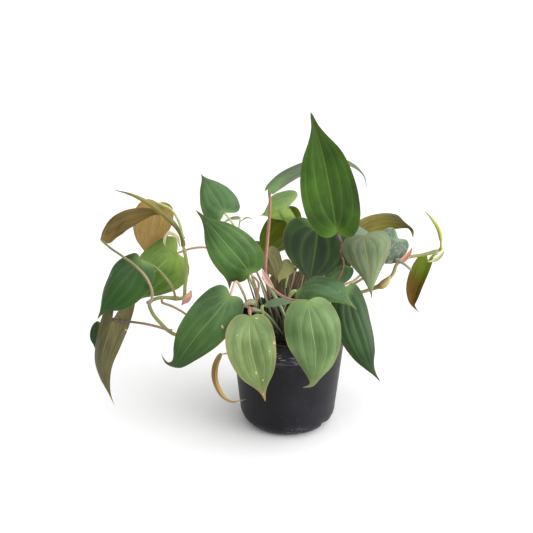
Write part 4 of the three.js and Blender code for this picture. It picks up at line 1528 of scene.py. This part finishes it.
@dataclass
class Stems:
    """Vines and short stems, the papery sheaths at their nodes and the rolled shoots.

    Attributes:
        sides: Sides of a stem.
        step: Spacing of points along a stem.
        node_swell: How much thicker a stem is where a leaf joins it.
        node_reach: Half length of that swelling.
        tuck: How far the foot of a shoot reaches back into its stem.
        joint_radius: Radius of a shoot where it carries on from a stem.
        wrap_rows: Rings along a sheath or shoot.
        wrap_points: Points round a sheath or shoot.
    """

    sides: int = 16
    step: float = 2.0 * MM
    node_swell: float = 0.5
    node_reach: float = 3.2 * MM
    tuck: float = 3.5 * MM
    joint_radius: float = 2.3 * MM
    wrap_rows: int = 26
    wrap_points: int = 22

    # Farthest that a leaf's foot is from the stem that it springs from.
    JOINT_REACH = 7 * MM
    # Half the turn of a sheath round its stem, and its inner face as a share of the outer.
    SHEATH_TURN = 2.0
    SHEATH_INNER = 0.74

    def _stem(
        self,
        name: str,
        reader: LoftReader,
        skin: Material,
        joints: Array,
        tubes: TubeGrowth,
        seed: int,
        foot: Array,
    ) -> Mesh:
        """A stem with a swelling at each node.

        Args:
            name: Name of the mesh.
            reader: The stem's frame node.
            skin: Material.
            joints: Points where leaves spring from stems.
            tubes: Tree that grows it.
            seed: Fixes its unevenness.
            foot: Where it grows out of another stem, as one row, or no rows.

        Returns:
            The mesh.
        """
        start, rings, end = self._thick_end_first(reader)
        points = np.concatenate([foot, start[None], rings.mean(axis=1), end[None]])
        radii = ring_radius(rings)
        girth = np.concatenate([radii[:1], radii, radii[-1:] * 0.8])
        girth = np.concatenate([np.full(len(foot), radii[0]), girth])
        centre, girth = fine_line(*rooted(points, girth), self.step)
        for joint in joints:
            away = np.linalg.norm(centre - joint, axis=1)
            if away.min() < self.JOINT_REACH:
                run = chord_knots(centre)
                off = run - run[int(np.argmin(away))]
                girth = girth * (1 + self.node_swell * np.exp(-((off / self.node_reach) ** 2)))
        return tubes.along(name, centre, girth, skin, self.sides, seed)

    @staticmethod
    def _thick_end_first(reader: LoftReader) -> tuple[Array, Array, Array]:
        """Start point, rings and end point of a rod, from its thicker end."""
        ends = reader.sweeps()
        ends.sort(key=lambda end: -float(ring_radius(end[1][:1])[0]))
        return ends[0][0], ends[0][1], ends[1][0]

    def _foot(
        self, reader: LoftReader, nodes: dict[str, Object], joined: str | None
    ) -> Array:
        """Point of another stem that a rod grows out of.

        Args:
            reader: The rod's frame node.
            nodes: The frame's nodes by name.
            joined: Name of the other stem, if there is one.

        Returns:
            One row with the nearest point of its centre line, or no rows.
        """
        if joined is None:
            return np.empty((0, 3))
        start = self._thick_end_first(reader)[0]
        first, rings, last = self._thick_end_first(LoftReader(nodes[joined]))
        line = np.concatenate([first[None], rings.mean(axis=1), last[None]])
        line, _ = fine_line(line, np.ones(len(line)), self.step)
        return line[np.argmin(np.linalg.norm(line - start, axis=1))][None]

    def _wrap(
        self,
        name: str,
        reader: LoftReader,
        skin: Material,
        is_open: bool,
        foot: Array,
    ) -> Mesh:
        """A sheath, which is an open boat, or a shoot, which is a rolled leaf.

        Args:
            name: Name of the mesh.
            reader: The rod's frame node.
            skin: Material.
            is_open: Whether its cross-section is a crescent instead of a roll.
            foot: Where it carries on from a stem, as one row, or no rows.

        Returns:
            The closed mesh.
        """
        start, rings, end = self._thick_end_first(reader)
        centres = rings.mean(axis=1)
        if not len(foot):
            start = start - unit(centres[0] - start) * self.tuck * (0.3 if is_open else 1.0)
        spans = np.linalg.norm(rings[:, :4] - rings[:, 4:], axis=2).sum(axis=0)
        wide = int(np.argmax(spans))
        across = (rings[:, wide] - rings[:, (wide + 4) % RING]) / 2
        deep = (rings[:, (wide + 2) % RING] - rings[:, (wide + 6) % RING]) / 2
        line = np.concatenate([foot, start[None], centres, end[None]])
        chord = chord_knots(line)
        at = np.linspace(0.01 if len(foot) else 0.03, 0.97, self.wrap_rows) * chord[-1]

        def tapered(axes: Array) -> Array:
            """Axes of the rings, with those of both end points."""
            if len(foot):
                first = axes[:1] * self.joint_radius / np.linalg.norm(axes[0])
                return np.concatenate([first, first, axes, axes[-1:] * 0.15])
            return np.concatenate([axes[:1] * 0.5, axes, axes[-1:] * 0.15])

        middle = through(chord, line, at)
        wide_axis = through(chord, tapered(across), at)
        deep_axis = through(chord, tapered(deep), at)
        count = self.wrap_points
        rows = []
        for row in range(self.wrap_rows):
            share = row / (self.wrap_rows - 1)
            if is_open:
                outer = np.linspace(-self.SHEATH_TURN, self.SHEATH_TURN, count // 2)
                angle = np.concatenate([outer, outer[::-1]])
                size = np.repeat((1.0, self.SHEATH_INNER), count // 2)
            else:
                angle = np.linspace(0.0, 2 * math.pi, count, endpoint=False)
                lap = ((angle + 2.2 * share) / (2 * math.pi)) % 1.0
                size = 0.86 + 0.2 * lap
            rows.append(
                middle[row]
                + np.outer(size * np.sin(angle), wide_axis[row])
                + np.outer(size * np.cos(angle), deep_axis[row])
            )
        return skinned_rows(name, line[0], np.array(rows), end, skin)

    def build(self, nodes: dict[str, Object], tubes: TubeGrowth) -> None:
        """Make every stem, sheath and shoot.

        Args:
            nodes: The frame's nodes by name.
            tubes: Tree that grows the stems.
        """
        joints = np.array([LoftReader(nodes[name]).sweeps()[0][0] for name in LEAVES])
        skins: dict[StalkFinish | SheathFinish, Material] = {}
        for index, (node, plan) in enumerate(RODS.items()):
            if plan.skin not in skins:
                skins[plan.skin] = plan.skin.skin(f"{plan.kind.name.lower()} {len(skins) + 1}")
            skin = skins[plan.skin]
            reader = LoftReader(nodes[node])
            name = f"{node}_form"
            foot = self._foot(reader, nodes, plan.joined)
            if plan.kind is RodKind.STEM:
                mesh = self._stem(name, reader, skin, joints, tubes, 100 + index, foot)
            else:
                mesh = self._wrap(name, reader, skin, plan.kind is RodKind.SHEATH, foot)
            turn_outwards(mesh)
            smooth(mesh, 50.0)
            settle(new_object(name, mesh), node)


@dataclass
class CrowdedStalks:
    """Short old stalks and young runners that crowd over the potting mix.

    Attributes:
        reach: Smallest and largest distance of a foot from the middle.
        height: Smallest and largest height.
        radius: Smallest and largest thickness, as a radius.
        lean: How far a stalk leans outwards, as a share of its height.
        sides: Sides of a stalk.
        seed: Fixes where they stand.
    """

    reach: tuple[float, float] = (6 * MM, 33 * MM)
    height: tuple[float, float] = (14 * MM, 44 * MM)
    radius: tuple[float, float] = (0.7 * MM, 1.5 * MM)
    lean: float = 0.55
    sides: int = 9
    seed: int = 11

    def build(self, tubes: TubeGrowth) -> None:
        """Make three bundles, each of one colour.

        Args:
            tubes: Tree that grows the stalks.
        """
        rng = np.random.default_rng(self.seed)
        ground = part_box("soil")[1][2]
        bundles = {
            "young_runners": (YOUNG_STEM, 7),
            "dry_stubs": (DRY_STUB, 9),
            "shaded_stalks": (SHADED_STALK, 12),
        }
        for name, (finish, count) in bundles.items():
            skin = finish.skin(name.replace("_", " "))
            pieces = []
            for number in range(count):
                angle = rng.uniform(0, 2 * math.pi)
                outward = np.array((math.cos(angle), math.sin(angle), 0.0))
                aside = np.array((-outward[1], outward[0], 0.0)) * rng.uniform(-0.35, 0.35)
                foot = outward * rng.uniform(*self.reach)
                height = rng.uniform(*self.height)
                up = np.linspace(-0.15, 1.0, 7)[:, None]
                spread = (outward * self.lean * rng.uniform(0.2, 1.0) + aside) * height
                points = foot + spread * np.clip(up, 0, 1) ** 1.7
                points[:, 2] = ground + height * up[:, 0]
                thick = rng.uniform(*self.radius)
                girth = thick * np.linspace(1.15, 0.8, len(points))
                line, girth = fine_line(points, girth, 2 * MM)
                seed = 200 + len(name) * 20 + number
                label = f"{name} {number}"
                mesh = tubes.along(label, line, girth, skin, self.sides, seed)
                turn_outwards(mesh)
                smooth(mesh, 50.0)
                pieces.append(new_object(label, mesh))
            bundle = join(pieces)
            bundle.name = bundle.data.name = name
            settle(bundle)


def skinned_rows(
    name: str, start: Array, rows: Array, end: Array, skin: Material
) -> Mesh:
    """Closed skin over rows of points with a point at each end.

    Args:
        name: Name of the mesh.
        start: Point before the first row.
        rows: Points, rows by points round.
        end: Point after the last row.
        skin: Material.

    Returns:
        The mesh, with its chart of length and girth.
    """
    count, around = rows.shape[:2]
    points = [tuple(start), *map(tuple, rows.reshape(-1, 3)), tuple(end)]

    def number(row: int, turn: int) -> int:
        """Index of a point."""
        return 1 + row * around + turn % around

    faces, chart = [], []
    for turn in range(around):
        left, right = turn / around, (turn + 1) / around
        faces.append((0, number(0, turn), number(0, turn + 1)))
        chart += [(0.0, left), (0.0, left), (0.0, right)]
        for row in range(count - 1):
            low, high = row / (count - 1), (row + 1) / (count - 1)
            faces.append((
                number(row, turn), number(row + 1, turn),
                number(row + 1, turn + 1), number(row, turn + 1),
            ))
            chart += [(low, left), (high, left), (high, right), (low, right)]
        faces.append((len(points) - 1, number(count - 1, turn + 1), number(count - 1, turn)))
        chart += [(1.0, left), (1.0, right), (1.0, left)]
    mesh = new_mesh(name, points, faces)
    store_chart(mesh, chart)
    mesh.materials.append(skin)
    return mesh


# ------------------------------------------------------------------ pot and mix
def turned(name: str, profile: Sequence[tuple[float, float]], segments: int) -> Mesh:
    """Closed solid turned about Z.

    Args:
        name: Name of the mesh.
        profile: Radius and height of each point; the first and last lie on the axis.
        segments: Steps round the axis.

    Returns:
        The mesh.
    """
    points = [(0.0, 0.0, profile[0][1])]
    for radius, height in profile[1:-1]:
        for step in range(segments):
            angle = 2 * math.pi * step / segments
            points.append((radius * math.cos(angle), radius * math.sin(angle), height))
    points.append((0.0, 0.0, profile[-1][1]))

    def number(ring: int, step: int) -> int:
        """Index of a point."""
        return 1 + ring * segments + step % segments

    rings = len(profile) - 2
    faces = []
    for step in range(segments):
        faces.append((0, number(0, step + 1), number(0, step)))
        for ring in range(rings - 1):
            faces.append((
                number(ring, step), number(ring, step + 1),
                number(ring + 1, step + 1), number(ring + 1, step),
            ))
        faces.append((len(points) - 1, number(rings - 1, step), number(rings - 1, step + 1)))
    mesh = new_mesh(name, points, faces)
    turn_outwards(mesh)
    return mesh


class BlockRing(GrowthSheet):
    """A ring of equal blocks round the axis, as Geometry Nodes."""

    def __init__(self) -> None:
        """Write the tree."""
        super().__init__("ring of blocks")
        count = self.ask("Count", "Int")
        first = self.ask("First Angle", "Float")
        reach = self.ask("Middle Radius", "Float")
        level = self.ask("Middle Height", "Float")
        size = self.ask("Size", "Vector")
        skin = self.ask("Skin", "Material")
        turn = self.math("DIVIDE", 2 * math.pi, count)
        number = self.node("GeometryNodeInputIndex").outputs[0]
        angle = self.total(self.product(number, turn), first)
        across = self.product(self.math("COSINE", angle), reach)
        ahead = self.product(self.math("SINE", angle), reach)
        spot = self.node("ShaderNodeCombineXYZ", {0: across, 1: ahead, 2: level}).outputs[0]
        points = self.node("GeometryNodePoints", {"Count": count, "Position": spot}).outputs[0]
        block = self.node("GeometryNodeMeshCube", {"Size": size}).outputs[0]
        facing = self.node("ShaderNodeCombineXYZ", {2: angle}).outputs[0]
        placed = self.node("GeometryNodeInstanceOnPoints", {"Points": points, "Instance": block})
        self.tree.links.new(facing, placed.inputs["Rotation"])
        self.close(placed.outputs[0], skin)


@dataclass
class NurseryPot:
    """The plain nursery pot: a tapered shell with a lip and two drainage recesses below.

    Attributes:
        base_radius: Radius that the wall tapers to at the ground.
        fillet: Radius of the rounded bottom edge.
        wall: Thickness of the wall.
        floor: Thickness of the floor.
        lip_height: Height of the lip.
        lip_overhang: How far the lip stands out of the wall.
        step_below_rim: Distance of the faint step below the rim.
        step_depth: How far the step stands out.
        recesses: How many recesses run round the bottom edge.
        recess_width: Width of a recess.
        recess_height: Height of a recess.
        recess_reach: Radius at which a recess ends.
        hole_width: Width of the drain hole in a recess.
        first_angle: Direction of the first recess, in degrees.
        segments: Steps round the pot.
    """

    base_radius: float = 48 * MM
    fillet: float = 17 * MM
    wall: float = 1.4 * MM
    floor: float = 2.2 * MM
    lip_height: float = 4.6 * MM
    lip_overhang: float = 1.1 * MM
    step_below_rim: float = 22 * MM
    step_depth: float = 0.5 * MM
    recesses: int = 2
    recess_width: float = 16 * MM
    recess_height: float = 12 * MM
    recess_reach: float = 38 * MM
    hole_width: float = 6 * MM
    first_angle: float = -36.0
    segments: int = 144

    BLOCK_LENGTH = 20 * MM
    FILLET_STEPS = 9

    def __post_init__(self) -> None:
        """Take the height and the rim from the frame."""
        low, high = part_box("pot")
        self.height = high[2] - low[2]
        self.rim_radius = (high[0] - low[0]) / 2

    def wall_radius(self, level: float) -> float:
        """Outer radius of the wall at a height above the fillet."""
        share = level / self.height
        return self.base_radius + (self.rim_radius - self.lip_overhang - self.base_radius) * share

    def _fillet(self, radius: float, fillet: float, bottom: float) -> list[tuple[float, float]]:
        """Quarter round from the floor up to the wall."""
        arc = []
        for step in range(self.FILLET_STEPS + 1):
            angle = step / self.FILLET_STEPS * math.pi / 2
            arc.append((
                radius - fillet + fillet * math.sin(angle), bottom + fillet * (1 - math.cos(angle))
            ))
        return arc

    def _outside(self) -> list[tuple[float, float]]:
        """Profile of the pot's outside, with a rolled lip."""
        lip = self.height - self.lip_height
        step = self.height - self.step_below_rim
        levels = np.linspace(self.fillet, step - 0.8 * MM, 5)[1:]
        above = self.step_depth
        return [
            (0.0, 0.0),
            *self._fillet(self.wall_radius(self.fillet), self.fillet, 0.0),
            *[(self.wall_radius(z), float(z)) for z in levels],
            (self.wall_radius(step) + 0.7 * above, step - 0.3 * MM),
            (self.wall_radius(step) + above, step + 0.2 * MM),
            (self.wall_radius(step + 8 * MM) + above, step + 8 * MM),
            (self.wall_radius(lip) + above, lip - 0.2 * MM),
            (self.rim_radius - 0.55 * MM, lip + 0.15 * MM),
            (self.rim_radius - 0.15 * MM, lip + 0.6 * MM),
            (self.rim_radius, lip + 1.3 * MM),
            (self.rim_radius, self.height - 1.0 * MM),
            (self.rim_radius - 0.25 * MM, self.height - 0.35 * MM),
            (self.rim_radius - 0.8 * MM, self.height),
            (0.0, self.height),
        ]

    def _inside(self) -> list[tuple[float, float]]:
        """Profile of the hollow."""
        lip = self.height - self.lip_height
        thin = self.wall_radius(self.fillet) - self.wall
        return [
            (0.0, self.floor),
            *self._fillet(thin, self.fillet - self.floor, self.floor),
            (self.wall_radius(lip) - self.wall, lip - 1 * MM),
            (self.rim_radius - 2.3 * MM, self.height - 0.4 * MM),
            (self.rim_radius - 1.7 * MM, self.height + 0.1 * MM),
            (self.rim_radius - 1.7 * MM, self.height + 1 * MM),
            (0.0, self.height + 1 * MM),
        ]

    def _blocks(
        self, ring: BlockRing, width: float, reach: float, low: float, high: float
    ) -> Object:
        """A ring of blocks from a radius outwards, between two heights."""
        host = new_object("block host", bpy.data.meshes.new("block host"))
        mesh = ring.grow(
            host,
            "blocks",
            {
                "Count": self.recesses,
                "First Angle": math.radians(self.first_angle),
                "Middle Radius": reach + self.BLOCK_LENGTH / 2,
                "Middle Height": (low + high) / 2,
                "Size": (self.BLOCK_LENGTH, width, high - low),
                "Skin": None,
            },
        )
        return new_object("blocks", mesh)

    @staticmethod
    def _cut(body: Object, tool: Object) -> Object:
        """Body with the tool cut out of it; both are used up."""
        modifier = body.modifiers.new("cut", "BOOLEAN")
        modifier.operation = "DIFFERENCE"
        modifier.solver = "EXACT"
        modifier.object = tool
        mesh = plain_mesh(body, "cut")
        bpy.data.objects.remove(tool)
        return new_object("cut", mesh)

    def build(self) -> None:
        """Make the pot."""
        ring = BlockRing()
        outer = new_object("outer", turned("outer", self._outside(), self.segments))
        hollow = new_object("hollow", turned("hollow", self._inside(), self.segments))
        outer = self._cut(
            outer,
            self._blocks(ring, self.recess_width, self.recess_reach, -1 * MM, self.recess_height),
        )
        hollow = self._cut(
            hollow,
            self._blocks(
                ring,
                self.recess_width + 2 * self.wall,
                self.recess_reach - self.wall,
                0.0,
                self.recess_height + self.wall,
            ),
        )
        shell = self._cut(outer, hollow)
        shell = self._cut(
            shell,
            self._blocks(
                ring,
                self.hole_width,
                self.recess_reach - 4 * MM,
                self.floor + 1 * MM,
                self.recess_height - 1.5 * MM,
            ),
        )
        shell.name = shell.data.name = "pot_shell"
        shell.data.materials.clear()
        shell.data.materials.append(PlasticFinish().skin(self.height))
        shell.data.polygons.foreach_set("material_index", [0] * len(shell.data.polygons))
        smooth(shell.data, 32.0)
        settle(shell, "pot")


class CrumbScatter(GrowthSheet):
    """Loose crumbs and fibres lying on the surfaces that look up, as Geometry Nodes."""

    RAGGEDNESS = 2.2 * MM
    # How far up a surface has to look to carry crumbs.
    LEVEL_ENOUGH = 0.6
    TURN = round(2 * math.pi, 3)

    def __init__(self, is_fibre: bool) -> None:
        """Write the tree for round crumbs or for fibres."""
        super().__init__("fibre scatter" if is_fibre else "crumb scatter")
        density = self.ask("Density", "Float")
        smallest = self.ask("Smallest", "Float")
        largest = self.ask("Largest", "Float")
        seed = self.ask("Seed", "Int")
        skin = self.ask("Skin", "Material")
        up = self.axes(self.node("GeometryNodeInputNormal").outputs[0])[2]
        chosen = self.node(
            "FunctionNodeCompare",
            {0: up, 1: self.LEVEL_ENOUGH},
            data_type="FLOAT",
            operation="GREATER_THAN",
        ).outputs[0]
        spread = self.node(
            "GeometryNodeDistributePointsOnFaces",
            {
                "Mesh": self.entry.outputs[0],
                "Selection": chosen,
                "Density": density,
                "Seed": seed,
            },
        ).outputs[0]
        if is_fibre:
            grain = self.node(
                "GeometryNodeMeshCylinder",
                {"Vertices": 5, "Side Segments": 3, "Radius": 0.05, "Depth": 2.0},
            ).outputs[0]
            tilt = ((1.2, 0.0, 0.0), (1.9, 0.0, self.TURN))
        else:
            grain = self.node("GeometryNodeMeshIcoSphere", {"Radius": 1.0, "Subdivisions": 2})
            grain = grain.outputs[0]
            tilt = ((0.0, 0.0, 0.0), (self.TURN,) * 3)
        turn = self.node(
            "FunctionNodeRandomValue",
            {0: tilt[0], 1: tilt[1], "Seed": seed},
            data_type="FLOAT_VECTOR",
        ).outputs[0]
        size = self.node(
            "FunctionNodeRandomValue", {2: smallest, 3: largest, "Seed": seed}, data_type="FLOAT"
        ).outputs[1]
        plugs = {"Points": spread, "Instance": grain, "Scale": size}
        placed = self.node("GeometryNodeInstanceOnPoints", plugs)
        self.tree.links.new(turn, placed.inputs["Rotation"])
        real = self.node("GeometryNodeRealizeInstances", {0: placed.outputs[0]}).outputs[0]
        place = self.node("GeometryNodeInputPosition").outputs[0]
        cloud = self.node("ShaderNodeTexNoise", {"Vector": place, "Scale": 520.0}).outputs[1]
        shift = self.scaled(self.vector("SUBTRACT", cloud, (0.5, 0.5, 0.5)), self.RAGGEDNESS)
        rough = self.node("GeometryNodeSetPosition", {0: real, "Offset": shift}).outputs[0]
        self.close(rough, skin)


@dataclass
class PottingMix:
    """The root ball: a lumpy surface with loose crumbs, bark fibres and a few pale grains.

    Attributes:
        gap: Clearance to the wall of the pot.
        step_level: Height up to which it stays clear of the drainage recesses.
        step_radius: Its radius below that height.
        lump: Height of the lumps.
        rings: Rings across the surface.
        segments: Steps round it.
    """

    gap: float = 0.4 * MM
    step_level: float = 15 * MM
    step_radius: float = 35.5 * MM
    lump: float = 3.2 * MM
    rings: int = 26
    segments: int = 96

    def build(self, pot: NurseryPot) -> None:
        """Make the mix and what lies on it.

        Args:
            pot: The pot that it fills.
        """
        low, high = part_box("soil")
        top, bottom = high[2], low[2]
        inside = pot.wall + self.gap
        rim = pot.wall_radius(top) - inside
        profile = [
            (0.0, bottom),
            (self.step_radius - 8 * MM, bottom),
            (self.step_radius, bottom + 2 * MM),
            (self.step_radius, self.step_level),
            (pot.wall_radius(pot.fillet) - inside - 1.5 * MM, self.step_level + 0.5 * MM),
            (pot.wall_radius(pot.fillet) - inside, pot.fillet),
            (rim - 0.3 * MM, top - 5 * MM),
        ]
        for share in np.linspace(1.0, 0.0, self.rings):
            profile.append((rim * float(share), top - 2.2 * MM * float(share) ** 4))
        mesh = turned("potting_mix", profile, self.segments)
        self._roughen(mesh, top - 4 * MM, rim)
        skin = MixFinish().skin("potting mix")
        mesh.materials.append(skin)
        smooth(mesh, 70.0)
        piece = new_object("potting_mix", mesh)
        settle(piece, "soil")
        self._scatter(piece, "mix_crumbs", False, (52000.0, 0.7 * MM, 2.1 * MM), skin)
        self._scatter(piece, "mix_fibres", True, (16000.0, 2.0 * MM, 6.0 * MM), BARK.skin("bark"))
        self._scatter(piece, "mix_grains", False, (1500.0, 0.6 * MM, 1.3 * MM), PUMICE.skin("grit"))

    def _roughen(self, mesh: Mesh, level: float, rim: float) -> None:
        """Push the upper surface into lumps, less towards the wall."""
        for vertex in mesh.vertices:
            if vertex.co.z <= level:
                continue
            radius = math.hypot(vertex.co.x, vertex.co.y)
            share = float(soft_step(np.array(rim - radius), 0.0, 8 * MM))
            wide = noise.noise(Vector((vertex.co.x, vertex.co.y, 0.3)) * 70.0)
            tight = noise.noise(Vector((vertex.co.x, vertex.co.y, 7.1)) * 260.0)
            vertex.co.z += self.lump * share * (0.55 * wide + 0.35 * tight - 0.1)

    @staticmethod
    def _scatter(
        ground: Object,
        name: str,
        is_fibre: bool,
        spread: tuple[float, float, float],
        skin: Material,
    ) -> None:
        """Scatter small pieces over the mix.

        Args:
            ground: The finished mix.
            name: Name of the scattered piece.
            is_fibre: Whether they are fibres instead of crumbs.
            spread: How many to a square metre, and the smallest and largest size.
            skin: Their material.
        """
        host = new_object(name, ground.data.copy())
        values = dict(zip(("Density", "Smallest", "Largest"), spread), Seed=len(name), Skin=skin)
        mesh = CrumbScatter(is_fibre).grow(host, name, values)
        settle(new_object(name, mesh))


# ------------------------------------------------------------------ studio
@dataclass
class Studio:
    """Pale floor, soft light and the camera.

    Attributes:
        floor_radius: Radius of the floor.
        aim: Point that the camera looks at.
        distance: Distance of the camera from that point.
        elevation: Angle of the camera above the horizon, in degrees.
        lens: Focal length for a 36 mm wide sensor, in millimetres.
        bright: Direction of the brightest part of the sky.
        sky: Brightness of the sky on its dim side and on its bright side.
    """

    floor_radius: float = 14.0
    aim: tuple[float, float, float] = (-0.022, 0.0, 0.169)
    distance: float = 0.8
    elevation: float = 21.3
    lens: float = 54.9
    bright: tuple[float, float, float] = (0.4, -0.28, 0.87)
    sky: tuple[float, float] = (0.22, 2.6)

    FLOOR_DEPTH = 20 * MM
    FLOOR_GREYS = (0xD6D6D6, 0xDADADA)
    SIDE_LAMP = (0.85, -0.42, 0.18)
    SIDE_LAMP_SIZE = 0.5
    SIDE_LAMP_POWER = 11.0
    SENSOR_WIDTH = 36.0

    def _floor(self) -> None:
        """A pale matt floor with a very faint variation."""
        low, edge = -self.FLOOR_DEPTH, self.floor_radius
        mesh = turned("floor", [(0.0, low), (edge, low), (edge, 0.0), (0.0, 0.0)], 64)
        sheet = MaterialSheet("pale floor")
        cloud = sheet.noise(sheet.place(), 3.0, 3.0)
        colour = sheet.mix(cloud, *map(srgb, self.FLOOR_GREYS))
        mesh.materials.append(
            sheet.finish(colour, 0.8, cloud, 0.05 * MM, {"Specular IOR Level": 0.1})
        )
        new_object("floor", mesh)

    def _sky(self) -> None:
        """Soft white light from all round, brighter from one side."""
        world = bpy.data.worlds.new("studio air")
        world.use_nodes = True
        sheet = NodeSheet(world.node_tree)
        ray = sheet.node("ShaderNodeTexCoord").outputs["Generated"]
        facing = sheet.node(
            "ShaderNodeVectorMath", {0: ray, 1: self.bright}, operation="DOT_PRODUCT"
        ).outputs["Value"]
        dim, bright = self.sky
        level = sheet.node(
            "ShaderNodeMapRange",
            {"Value": facing, "From Min": 0.0, "To Min": dim, "To Max": bright},
            interpolation_type="SMOOTHSTEP",
        ).outputs["Result"]
        air = world.node_tree.nodes["Background"]
        air.inputs["Color"].default_value = (1.0, 1.0, 1.0, 1.0)
        world.node_tree.links.new(level, air.inputs["Strength"])
        bpy.context.scene.world = world

    def _lamp(self) -> None:
        """A soft square lamp aimed at the plant from its right side."""
        light = bpy.data.lights.new("side light", "AREA")
        light.shape = "SQUARE"
        light.size = self.SIDE_LAMP_SIZE
        light.energy = self.SIDE_LAMP_POWER
        lamp = bpy.data.objects.new("side light", light)
        lamp.location = self.SIDE_LAMP
        ahead = Vector(self.aim) - Vector(self.SIDE_LAMP)
        lamp.rotation_euler = ahead.to_track_quat("-Z", "Y").to_euler()
        bpy.context.scene.collection.objects.link(lamp)

    def build(self) -> None:
        """Set up the floor, the lights and the camera."""
        self._floor()
        self._sky()
        self._lamp()
        lift = math.radians(self.elevation)
        camera = bpy.data.objects.new("camera", bpy.data.cameras.new("camera"))
        camera.data.lens = self.lens
        camera.data.sensor_width = self.SENSOR_WIDTH
        offset = Vector((0.0, -math.cos(lift), math.sin(lift))) * self.distance
        camera.location = Vector(self.aim) + offset
        camera.rotation_euler = (math.pi / 2 - lift, 0.0, 0.0)
        bpy.context.scene.collection.objects.link(camera)
        bpy.context.scene.camera = camera
        bpy.context.scene.view_settings.view_transform = "Standard"


def main() -> None:
    """Build the plant's looks round the frame."""
    logging.basicConfig(level=logging.INFO, format="%(name)s %(message)s")
    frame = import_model()
    Studio().build()
    pot = NurseryPot()
    pot.build()
    PottingMix().build(pot)
    tubes = TubeGrowth()
    Foliage().build(frame["nodes"], tubes)
    Stems().build(frame["nodes"], tubes)
    CrowdedStalks().build(tubes)


if __name__ == "__main__":
    main()
